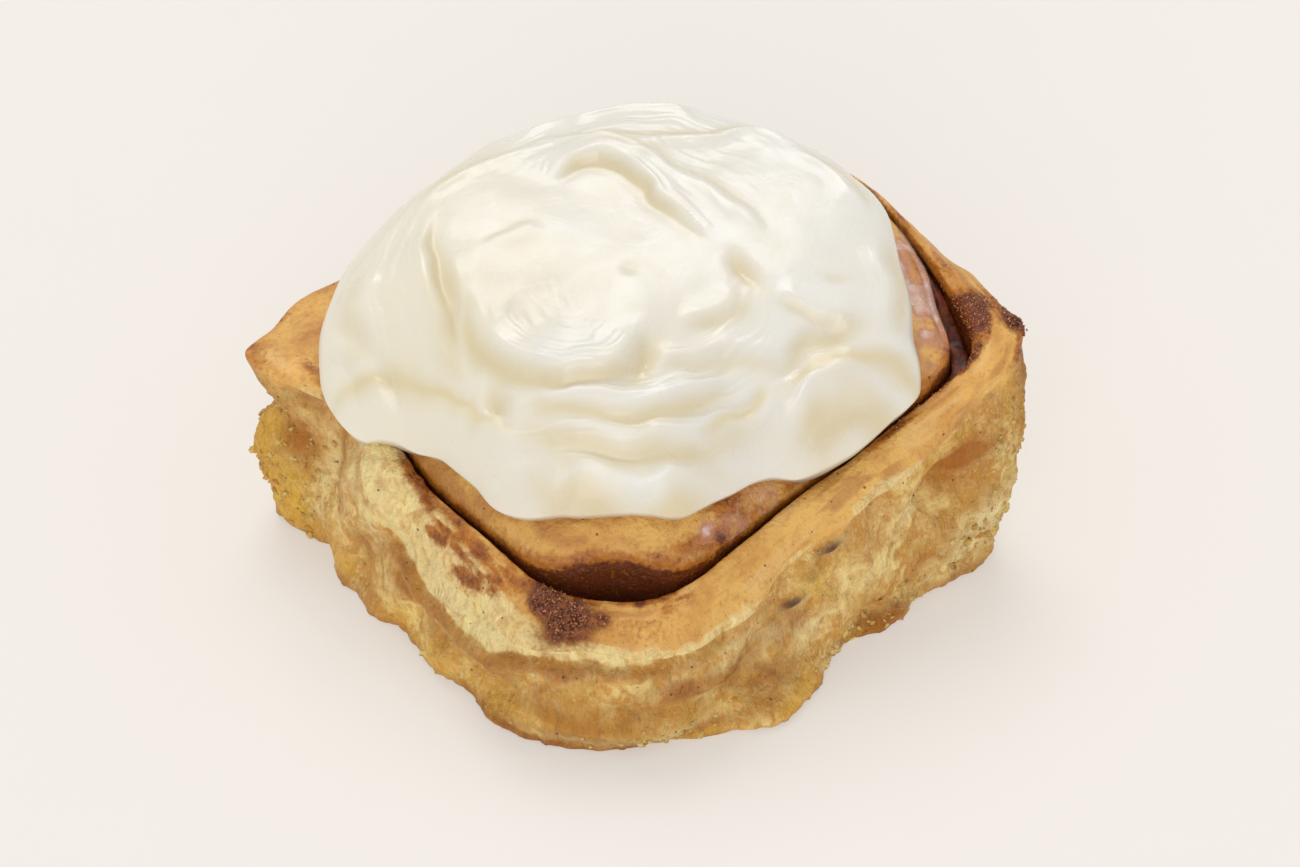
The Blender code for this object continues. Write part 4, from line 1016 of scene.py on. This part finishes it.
frosting = {
    "angles": 470, "topRings": 176, "underRings": 22,    # points of the mesh
    # middle, and how far the edge reaches from it by direction
    "centre": (-2, 5),
    "reach": {10: 42.2, 22: 39.4, 40: 37.6, 75: 38, 100: 38.2, 125: 37.8, 150: 38, 165: 41.2, 180: 44.4,
        198: 47, 206: 46, 215: 40.6, 224: 37.8, 236: 39.6, 248: 43, 260: 42.6, 272: 42, 284: 42, 295: 40.2,
        304: 39.4, 313: 42.4, 323: 45.6, 331: 47.4, 337: 49.4, 343: 46.8, 350: 45.4, 357: 43.8},
    # thickness in the middle and at the edge, how boxy the dome is, gaps to the dough, width tucked under
    "thickness": 14.4, "nose": 3.4, "squareness": 3.2, "clearance": 0.3, "above": 0.6, "tuck": 3,
    "strength": 1.4, "end": 0.28, "steepBelow": 1.7,    # of the strokes: height factor, faded share, fade
    # spatula strokes: height, fade on the left and on the right, points that the crest passes through;
    # the side that fades within 1.7 mm drops as a small cliff with a crease at its foot, tinted with painted
    # shade
    "strokes": (
        (1.3, 7, 0.7, ((-12.6, 15.6), (-11.2, 18), (-8.6, 19.8), (-5.2, 20.4), (-1.8, 18.9), (1.6, 15.2),
         (5.8, 10), (10.5, 4.5), (16.3, -2.2))),
        (1.5, 7, 0.9, ((-23.4, -3.6), (-22.6, -8.2), (-20.9, -12.8), (-17.2, -17.3), (-11, -20.7),
         (-4.4, -21.2), (0.3, -17.7), (2.8, -11.6))),
        (1.1, 0.8, 4, ((-30.5, 12.7), (-31.6, 5.1), (-31.3, -2.9), (-29.7, -9.2), (-27.3, -12.9),
         (-23.2, -17.8))),
        (0.6, 2.5, 1.4, ((-27.1, 1.5), (-26.2, -5.7), (-24.3, -11.2), (-21.1, -16.6))),
        (1.1, 3, 0.9, ((-15.2, -21), (-10.8, -24.8), (-2.9, -26.7), (4.4, -25.8), (10.6, -22.4),
         (14.6, -18.4))),
        (1.2, 2.2, 1.1, ((-17, -23.3), (-10.2, -28), (-2.9, -29.6), (3.7, -29.9), (10.3, -28.3),
         (16.3, -24.5))),
        (1.2, 2.4, 1.2, ((-16.6, -29.3), (-11.7, -31.8), (-5.8, -33.9), (-1, -35), (4.4, -35.1),
         (10.3, -33), (14.2, -30))),
        (1.2, 0.9, 4, ((-43.5, -16.4), (-42, -14.6), (-38.7, -15.2), (-32.2, -17.3), (-26.5, -21.3),
         (-20.7, -26.6), (-14.7, -29.8))),
        (1.7, 5, 0.9, ((21, -24.6), (24.8, -21.6), (28.2, -19.4), (32.1, -18.6), (37.3, -17.8),
         (41.5, -17.6), (45, -19.6))),
        (1, 1.1, 1.4, ((22, -23.6), (25.4, -20.8), (29, -18.8), (33, -17.8), (38, -17), (42.4, -17.6),
         (46, -20.6))),
        (0.7, 2.6, 0.6, ((20.9, -7.7), (25.3, -8.6), (30.5, -10), (34.8, -12))),
        (0.7, 0.9, 2.6, ((35.6, 5.4), (37.7, -0.2), (38.1, -5.9), (36.8, -12.1))),
        (0.6, 2.4, 0.7, ((7, -12.8), (11.3, -11.9), (14.9, -9.9), (17.3, -7.1))),
        (0.9, 0.8, 3, ((10.3, -31.9), (16, -26.9), (20, -23), (22.6, -20.5))),
        (0.5, 1.8, 0.8, ((1.5, -19.4), (8.9, -18.3), (16.3, -15.6), (25.3, -14))),
        (0.6, 1.2, 0.8, ((3.4, -35.8), (8.9, -34.6), (13.2, -32.2))),
        (0.8, 3, 1.8, ((-22, 25), (-14, 30.6), (-4, 33.4), (5, 32.4), (11, 27))),
        (0.8, 0.8, 2.6, ((-20, 23.4), (-12, 25.4), (-4.6, 24.2), (4, 22.4), (12, 23.4), (20, 25.4),
         (29, 20))),
        (0.7, 0.8, 2.6, ((-33, 12.4), (-27, 18.4), (-20.8, 22.2), (-12, 24.4))),
        (0.45, 0.7, 2, ((-10, 22.6), (0, 20.6), (8, 15), (15, 8.4), (21, 1))),
        (0.5, 1, 1.8, ((13, -31.6), (17.3, -27.2), (20.1, -23.6))),
        (0.6, 0.8, 2.2, ((24, 22), (31, 15), (35.4, 7.4))),
        (0.4, 2.2, 1.2, ((-38, 4), (-39.4, -4), (-37, -10.6))),
        (0.3, 0.6, 1.6, ((-21.6, 1), (-18, 4.6), (-13.6, 7.2))),
    ),
    # hollows (tinted with painted shade) and mounds: x, y, half length, half width, direction it runs in,
    # depth (a mound's is negative)
    "dimples": ((0.5, -3.9, 1.5, 1.1, 0, 0.4), (17.3, -4, 3.4, 1.5, 128, 1.3), (31.1, -4, 1.9, 1, 0, 0.4),
        (-18.9, -22.2, 2.2, 1.3, 110, 1.8), (1.5, -20.4, 4.6, 2.2, 50, 1.5), (0.5, -32.3, 12, 1.7, 4, 1.1),
        (37.5, -18.6, 4.6, 1.5, 10, 0.9), (-5.8, -36.6, 6, 1.8, -14, 1.2), (-28.2, -4.6, 8, 1.5, 107, 0.9),
        (25.5, -14.4, 5, 1.4, 38, 0.8), (-14, -8, 11, 8, 20, 0.6), (4, 32, 15, 15, 0, -4.2),
        (21, 27, 9, 7, -30, -1.6), (-36.5, -19.6, 5, 3, -20, -0.8), (20, 10, 9, 8, 0, -0.5),
        (38, -19.6, 7, 2.4, 8, 1), (30, -13, 6, 2, 25, 1), (14, -28.6, 6, 1.5, 35, 0.7)),
    # fine knife lines that follow a stroke: centre, radius range, directions, depth
    "striations": ((-4, 6, 26, 43, 240, 318, 0.34), (0, 0, 16, 26, 290, 350, 0.14),
        (-4, -6, 26, 40, 40, 120, 0.15), (-8, -2, 26, 36, 140, 230, 0.12)),
}


def smoothPath(knots, count):
    # cubic through the knots: 0.5 * (2 p1 + (p2 - p0) f + ...), whose slope at p1 is (p2 - p0) / 2
    k = np.array(knots, float)
    k = np.vstack([2 * k[0] - k[1], k, 2 * k[-1] - k[-2]])
    t = np.linspace(0, len(knots) - 1 - 1e-6, count)
    i = t.astype(int)
    f = (t - i)[:, None]
    p0, p1, p2, p3 = k[i], k[i + 1], k[i + 2], k[i + 3]
    return 0.5 * (2 * p1 + (p2 - p0) * f + (2 * p0 - 5 * p1 + 4 * p2 - p3) * f**2
                  + (3 * p1 - p0 - 3 * p2 + p3) * f**3)


def strokeDistance(px, py, path):
    # distance to the nearest segment of the path, side of it (left is positive) and share of it passed
    best, side, share = np.full(px.shape, 1e9), np.zeros(px.shape), np.zeros(px.shape)
    for k in range(len(path) - 1):
        ax, ay = path[k]
        ux, uy = path[k + 1] - path[k]
        t = np.clip(((px - ax) * ux + (py - ay) * uy) / (ux * ux + uy * uy), 0, 1)
        dx, dy = px - ax - t * ux, py - ay - t * uy
        away = dx * dx + dy * dy
        closer = away < best
        best = np.where(closer, away, best)
        side = np.where(closer, ux * dy - uy * dx, side)
        share = np.where(closer, (k + t) / (len(path) - 1), share)
    return np.sqrt(best), side, share


def strokeShape(away, side, share, high, leftFade, rightFade, length):
    # a stroke's ridge and crease: exp(-distance / fade) on a soft side, 1 - ease(distance / 2.8 fade) less a
    # shallow crease on a steep one, both fading at the ends, with fine knife lines along the soft side
    fade = np.where(side > 0, leftFade, rightFade)
    steep = fade < frosting["steepBelow"]
    soft = np.exp(-(np.sqrt(away**2 + 0.05) - 0.22) / fade) * (1 - ease(away / (2 * fade)))
    cliff = 1 - ease(away / (2.8 * fade)) - 0.1 * np.exp(-(((away - 3.6 * fade) / (1.4 * fade)) ** 2))
    ends = ease(share / frosting["end"]) * ease((1 - share) / frosting["end"])
    lines = np.stack([away * np.sign(side), share * length * 0.1, 0 * away], -1)
    knife = 0.12 * (softNoise(lines, 0.9, 61) + 0.7 * softNoise(lines, 0.45, 62))
    knife = knife * np.exp(-away / (0.8 * fade)) * ~steep
    ridge = frosting["strength"] * high * (np.where(steep, cliff, soft) + knife) * ends
    # painted shade: a mask along the crease at the foot of a steep side
    foot = np.exp(-(((away - 2.2 * fade) / (1.1 * fade + 0.2)) ** 2)) * steep * ends * min(1.0, high)
    return ridge, foot


def strokeRelief(x, y):
    # the strokes, less each dimple's depth * exp(-(along / length)^2 - (over / width)^2), plus fine lines;
    # with a mask of painted shade in the creases and dimples
    relief, creaseShade = np.zeros_like(x), np.zeros_like(x)
    flat = np.stack([x, y, 0 * x], -1)
    x = x + 1.3 * layeredNoise(flat, 7.0, 65, 2)
    y = y + 1.3 * layeredNoise(flat, 7.0, 66, 2)
    for high, leftFade, rightFade, knots in frosting["strokes"]:
        path = smoothPath(knots, 48)
        low, top = path.min(0) - 22, path.max(0) + 22
        near = (x > low[0]) & (x < top[0]) & (y > low[1]) & (y < top[1])
        away, side, share = strokeDistance(x[near], y[near], path)
        length = np.linalg.norm(np.diff(path, axis=0), axis=1).sum()
        ridge, foot = strokeShape(away, side, share, high, leftFade, rightFade, length)
        relief[near] += ridge
        creaseShade[near] = np.maximum(creaseShade[near], foot)
    for dx, dy, longer, wide, runs, deep in frosting["dimples"]:
        turnBy = math.radians(runs)
        along = ((x - dx) * math.cos(turnBy) + (y - dy) * math.sin(turnBy)) / longer
        over = ((y - dy) * math.cos(turnBy) - (x - dx) * math.sin(turnBy)) / wide
        pit = np.exp(-(along**2) - over**2)
        relief -= deep * pit
        # painted shade in the dimple
        creaseShade = np.maximum(creaseShade, np.clip(deep, 0, 1) * pit * min(1.0, 2.4 / wide))
    for cx, cy, rLow, rHigh, start, end, deep in frosting["striations"]:
        r = np.hypot(x - cx, y - cy)
        turnedBy = (np.degrees(np.arctan2(y - cy, x - cx)) - start) % 360.0
        inside = (ease((r - rLow) / 2) * ease((rHigh - r) / 2) * ease(turnedBy / 15)
                  * ease((end - start - turnedBy) / 15) * (turnedBy < end - start))
        lines = np.stack([r, turnedBy * 0.02, 0 * r], -1)
        relief += deep * inside * (softNoise(lines, 1.1, 61) + 0.6 * softNoise(lines, 0.55, 62))
    return relief, creaseShade


def frostingFloor(x, y):
    # the higher of the coil's and the ring's top at each place, a little above the dough
    angle = np.degrees(np.arctan2(y, x))
    radius = np.hypot(x, y)
    coils = coilHeight(angle, radius) + frosting["above"]
    ringEdge = planRadius(angle, ringScale(angle))
    lip = planRadius(angle) - around(angle, coil["lean"])
    across = np.clip((radius - ringEdge) / (lip - ringEdge), 0.0, 1.0)
    ringTop = ringHeight(angle, across) + frosting["above"]
    onRing = ease((radius - ringEdge + 1.5) / 3.0)
    return np.maximum(coils + (ringTop - coils) * onRing, ringTop * (radius > ringEdge - 0.5))


def makeFrosting():
    # rings round the centre: top = floor + nose + (thickness - nose) * sqrt(1 - share^squareness) + strokes,
    # underside = floor + clearance, rounded up to the nose at the edge
    angle = np.linspace(0, 360, frosting["angles"], endpoint=False)[None]
    over = (np.arange(1, frosting["topRings"] + 1) / frosting["topRings"])[:, None]
    under = (np.arange(frosting["underRings"] - 1, 0, -1) / frosting["underRings"])[:, None]
    share = np.concatenate([np.sin(over * np.pi / 2) ** 0.92, under ** 0.6])
    isTop = np.arange(len(share))[:, None] < frosting["topRings"]
    reach = around(angle, frosting["reach"])
    rim = np.stack([42 * np.cos(np.radians(angle)), 42 * np.sin(np.radians(angle)), 0 * angle], -1)
    reach = reach + 0.7 * layeredNoise(rim, 9.0, 81, 2) - 0.3
    x = frosting["centre"][0] + share * reach * np.cos(np.radians(angle))
    y = frosting["centre"][1] + share * reach * np.sin(np.radians(angle))
    floor = frostingFloor(x, y)
    bulk = np.sqrt(np.clip(1 - share ** frosting["squareness"], 0.0, 1.0))
    relief, creaseShade = strokeRelief(x, y)
    flatPoints = np.stack([x, y, 0 * x], -1)
    slow = layeredNoise(flatPoints, 11.0, 71, 2)
    swirl = (relief + 0.35 * slow) * ease((1 - share) / 0.16)
    upper = floor + frosting["nose"] + (frosting["thickness"] - frosting["nose"]) * bulk + swirl - 0.2
    tuck = np.clip(1 - (1 - share) * reach / frosting["tuck"], 0.0, 1.0)
    lift = frosting["nose"] - frosting["clearance"]
    lower = floor + frosting["clearance"] + lift * (1 - np.sqrt(1 - tuck**2))
    z = np.where(isTop, upper, lower)
    rings = np.stack([x + coil["shift"][0], y + coil["shift"][1], z], -1)
    # each pole is closed by a fan of triangles
    count = rings.shape[1]
    points = np.concatenate([rings.reshape(-1, 3), [rings[0].mean(0), rings[-1].mean(0)]])
    quads = gridQuads(len(rings), count)
    top, low = np.full(count, len(points) - 2), np.full(count, len(points) - 1)
    firstRing = np.arange(count)
    lastRing = firstRing + (len(rings) - 1) * count
    fans = np.concatenate([np.stack([top, np.roll(firstRing, -1), firstRing], -1),
                           np.stack([low, lastRing, np.roll(lastRing, -1)], -1)])
    # painted shade: the cream is tinted yellow-grey in the hollows and creases
    hollow = np.where(isTop, ease(0.3 - 0.22 * relief - 0.25 * slow), 0.3)
    creaseShade = np.where(isTop, creaseShade, 0.0)
    left = ease((-x - 6.0) / 26.0)
    masks = np.stack([hollow, creaseShade, left, 0 * left], -1).reshape(-1, 4)
    masks = np.concatenate([masks, masks[:1], masks[-1:]])
    addPiece("creamFrosting", points, quads, makeFrostingSkin(),
             {"creamMasks": masks}, list(fans), ("frosting",))


def makeFrostingSkin():
    # pale cream, butter yellow to the left, painted yellow-grey shade in hollows and creases, satin with a
    # wet sheen
    skin, tree, shader, where = startMaterial(
        "creamFrosting", 0.32, 0.4, (1.0, 0.9, 0.76), 0.0009, coat=0.16)
    hollow, creaseShade, left = maskNode(tree, "creamMasks")[:3]
    broad = noiseNode(tree, where, 60.0, 2.0, 0.5)
    mottle = noiseNode(tree, where, 240.0, 3.0, 0.5, 0.5)
    fine = noiseNode(tree, where, 900.0, 3.0, 0.5)
    tone = twoTone(tree, broad, 0.35, 0.65, (234, 232, 226), (233, 229, 218))
    # the left mask is butter yellow; the hollow and crease masks lay painted shade
    for mask, most, tint in ((left, 0.6, (234, 227, 204)), (hollow, 0.45, (226, 218, 196)),
                             (creaseShade, 0.75, (220, 204, 160))):
        tone = mixColour(tree, times(tree, mask, most), tone, colour(*tint))
    tone = mixColour(tree, times(tree, spread(tree, mottle, 0.5, 0.75), 0.2), tone, colour(236, 228, 206))
    tree.links.new(tone, shader.inputs["Base Color"])
    tree.links.new(spread(tree, mottle, 0.3, 0.7, 0.26, 0.42), shader.inputs["Roughness"])
    bumpNode(tree, shader, timesPlus(tree, fine, 0.3, mottle), 0.00025, 0.5)
    return skin


# Icing film, sugar grains and crumbs on the dough

loose = {
    # icing melted on the second turn: from, to (directions), from, to (share across), thickness
    "films": ((356, 402, 0.36, 1, 0.3), (280, 313, 0.55, 1, 0.24)),
    "filmSink": 0.06, "filmDepth": 0.3,    # how far the film's bare top and its underside lie in the dough
    # how many, smallest and largest radius, seed, subdivisions, share of the radius that it is lifted by
    "sugary": (900, 0.1, 0.26, 5, 1, 0.1),
    "crumbly": (520, 0.16, 0.62, 6, 2, -0.1),
    "stretch": 0.45, "dent": 0.22, "aside": 0.25, "mostlySmall": 2.2,
}


def makeFilm(number, surface, start, end, low, high, thickness):
    # a patch of the dough's surface lifted by thickness * cover, sinking under the dough where cover is 0
    turns = surface["angle"][:, 0]
    second = (surface["wound"] > 400) & (surface["wound"] < 760)
    middle = (start + end) / 2
    rows = np.where(second & (np.abs((turns - middle + 180) % 360 - 180) < (end - start) / 2))[0]
    first, last = surface["topColumns"]
    across = surface["across"][rows[0]]
    columns = [j for j in range(first, last) if low <= across[j] <= high]
    patch = surface["points"][rows][:, columns]
    normals = surface["normals"][rows][:, columns]
    cover = surface["glaze"][rows][:, columns]
    cover = ease(1.5 * cover - 0.35 + 0.8 * layeredNoise(patch, 2.6, 91 + number, 3))
    fade = np.minimum(1, np.minimum(np.arange(len(rows)), np.arange(len(rows))[::-1]) / 6.0)[:, None]
    cover = cover * fade
    sink = loose["filmSink"]
    top = patch + normals * ((thickness + sink) * cover - sink)[..., None]
    under = (patch - loose["filmDepth"] * normals)[:, ::-1]
    shell = np.concatenate([top, under], axis=1)
    masks = greyMask(np.concatenate([cover, 0 * cover], axis=1))
    shape = shell.shape[:2]
    addPiece("icingFilm" + str(number), shell, gridQuads(*shape), filmSkin,
             {"filmMasks": masks}, tubeEnds(*shape))


def makeFilmSkin():
    # thin icing: milky where thick, clear where thin, glossy
    skin, tree, shader, where = startMaterial("meltedIcing", 0.16, 0.2, (1.0, 0.8, 0.7), 0.0006, coat=0.5)
    cover = maskNode(tree, "filmMasks")[0]
    mottle = noiseNode(tree, where, 500.0, 4.0, 0.6, 0.6)
    tone = twoTone(tree, mottle, 0.3, 0.7, (238, 214, 202), (250, 246, 248))
    tree.links.new(tone, shader.inputs["Base Color"])
    milky = times(tree, cover, spread(tree, mottle, 0.25, 0.65, 0.55, 1.0))
    tree.links.new(milky, shader.inputs["Alpha"])
    bumpNode(tree, shader, mottle, 0.0002, 0.6)
    return skin


def scatterLumps(surface, kind):
    # closed lumps at sites drawn by the surface's weight for this kind, each = site + turned, stretched and
    # dented ball * size; also a random shade for each lump's points
    count, small, large, seed, divisions, lift = loose[kind]
    sites, normals = surface["points"].reshape(-1, 3), surface["normals"].reshape(-1, 3)
    weight = surface[kind].ravel()
    dice = np.random.default_rng(seed)
    ball = bmesh.new()
    bmesh.ops.create_icosphere(ball, subdivisions=divisions, radius=1.0)
    shape = np.array([v.co[:] for v in ball.verts])
    faces = np.array([[v.index for v in f.verts] for f in ball.faces])
    ball.free()
    chosen = dice.choice(len(weight), count, replace=False, p=weight / weight.sum())
    size = small + (large - small) * dice.random(count) ** loose["mostlySmall"]
    turn = np.linalg.qr(dice.normal(size=(count, 3, 3)))[0]
    stretch = 1 + loose["stretch"] * dice.uniform(-1, 1, (count, 1, 3))
    dents = 1 + loose["dent"] * dice.normal(size=(count, len(shape), 1))
    lumps = np.einsum("nij,nvj->nvi", turn, shape[None] * stretch * dents) * size[:, None, None]
    aside = np.cross(normals[chosen], dice.normal(0, loose["aside"], (count, 3)))
    centres = sites[chosen] + aside + normals[chosen] * (lift * size)[:, None]
    points = (centres[:, None] + lumps).reshape(-1, 3)
    points[:, 2] = np.maximum(points[:, 2], 0.02)
    faces = faces[None] + len(shape) * np.arange(count)[:, None, None]
    return points, faces.reshape(-1, 3), np.repeat(dice.random(count), len(shape))


def makeSugar(surface):
    # clear brown grains on the clots, each its own shade
    points, faces, shade = scatterLumps(surface, "sugary")
    skin, tree, shader, where = startMaterial("sugarGrains", 0.18, 0.2, (1.0, 0.5, 0.25), 0.0004, coat=0.6)
    tone = mixColour(tree, maskNode(tree, "grainMasks")[0], colour(110, 54, 26), colour(196, 122, 66))
    tone = layTints(tree, tone, (noiseNode(tree, where, 2400.0, 2.0), 0.4, 0.7, 0.5, (120, 66, 50)))
    tree.links.new(tone, shader.inputs["Base Color"])
    addPiece("sugarGrains", points, faces, skin, {"grainMasks": greyMask(shade)})


def makeCrumbs(surface):
    # torn crumbs in the dough's own skin: torn, some brown and some gold
    points, faces, shade = scatterLumps(surface, "crumbly")
    none = 0 * shade
    masks = {
        "bakeMasks": np.stack([none + 1, none, none, none], -1),
        "tintAndShadeMasks": np.stack([0.4 * (shade < 0.4), 0.5 * (shade > 0.6), 0.5 * shade, none], -1),
        "lipMasks": np.stack([0.1 + 0.25 * shade, none, none, none + 0.4], -1),
        "streakMasks": np.stack([none + 0.5, none, none, none], -1),
    }
    addPiece("doughCrumbs", points, faces, bpy.data.materials["bakedDough"], masks)


surface = makeDough()
filmSkin = makeFilmSkin()
for number, patch in enumerate(loose["films"]):
    makeFilm(number + 1, surface, *patch)
makeSugar(surface)
makeCrumbs(surface)
print("dough built")
makeFilling()
print("filling built")
makeFrosting()
print("frosting built")


# Floor, light and camera

studio = {
    "floorColour": (0.488, 0.468, 0.444), "floorGlow": (1, 0.955, 0.9), "glow": 0.4, "floorSize": 4,    # m
    "sky": 0.62, "skyColour": (1, 0.99, 0.975), "sunColour": (1, 0.985, 0.965), "sunAngle": 38,
    # strength and direction of each light
    "suns": {"window": (1.1, (-0.12, 0.6, 1)), "fill": (0.9, (-0.1, -1, 0.45))},
    # mm, mm, degrees, mm of lens and of sensor
    "target": (0.4, -9.8, 25), "distance": 750, "elevation": 41, "lens": 135.8, "sensor": 36,
    "shift": (10 / 1300, -3.5 / 1300),
}


def makeFloor():
    # one wide flat quad of matt paper
    half = studio["floorSize"] / 2
    data = bpy.data.meshes.new("floor")
    corners = [(-half, -half, 0), (half, -half, 0), (half, half, 0), (-half, half, 0)]
    data.from_pydata(corners, [], [(0, 1, 2, 3)])
    skin = bpy.data.materials.new("palePaper")
    skin.use_nodes = True
    tree = skin.node_tree
    shader = tree.nodes["Principled BSDF"]
    where = tree.nodes.new("ShaderNodeTexCoord").outputs["Object"]
    grain = noiseNode(tree, where, 60.0, 3.0, 0.5)
    darker = tuple(c * 0.995 for c in studio["floorColour"])
    tone = mixColour(tree, spread(tree, grain, 0.3, 0.7), studio["floorColour"], darker)
    tree.links.new(tone, shader.inputs["Base Color"])
    shader.inputs["Roughness"].default_value = 0.9
    shader.inputs["Emission Color"].default_value = (*studio["floorGlow"], 1.0)
    shader.inputs["Emission Strength"].default_value = studio["glow"]
    shader.inputs["Specular IOR Level"].default_value = 0.1
    data.materials.append(skin)
    floor = bpy.data.objects.new("floor", data)
    bpy.context.scene.collection.objects.link(floor)


def makeLight():
    # an even pale sky and two broad suns that cast soft shadows
    world = bpy.data.worlds.new("softRoom")
    world.use_nodes = True
    sky = world.node_tree.nodes["Background"]
    sky.inputs[0].default_value = (*studio["skyColour"], 1.0)
    sky.inputs[1].default_value = studio["sky"]
    bpy.context.scene.world = world
    for name, (energy, facing) in studio["suns"].items():
        lamp = bpy.data.lights.new(name, "SUN")
        lamp.energy = energy
        lamp.angle = math.radians(studio["sunAngle"])
        lamp.color = studio["sunColour"]
        sun = bpy.data.objects.new(name, lamp)
        sun.rotation_euler = Vector(facing).to_track_quat("Z", "Y").to_euler()
        bpy.context.scene.collection.objects.link(sun)
    bpy.context.scene.view_settings.view_transform = "Standard"


def makeCamera():
    # at target + distance * (0, -cos(elevation), sin(elevation)), looking back at the target
    lens = bpy.data.cameras.new("camera")
    lens.lens = studio["lens"]
    lens.sensor_width = studio["sensor"]
    lens.shift_x, lens.shift_y = studio["shift"]
    camera = bpy.data.objects.new("camera", lens)
    bpy.context.scene.collection.objects.link(camera)
    rise = math.radians(studio["elevation"])
    target = Vector(studio["target"]) * mm
    away = Vector((0.0, -math.cos(rise), math.sin(rise))) * studio["distance"] * mm
    camera.location = target + away
    camera.rotation_euler = (-away).to_track_quat("-Z", "Y").to_euler()
    bpy.context.scene.camera = camera


makeFloor()
makeLight()
makeCamera()
print("studio built")
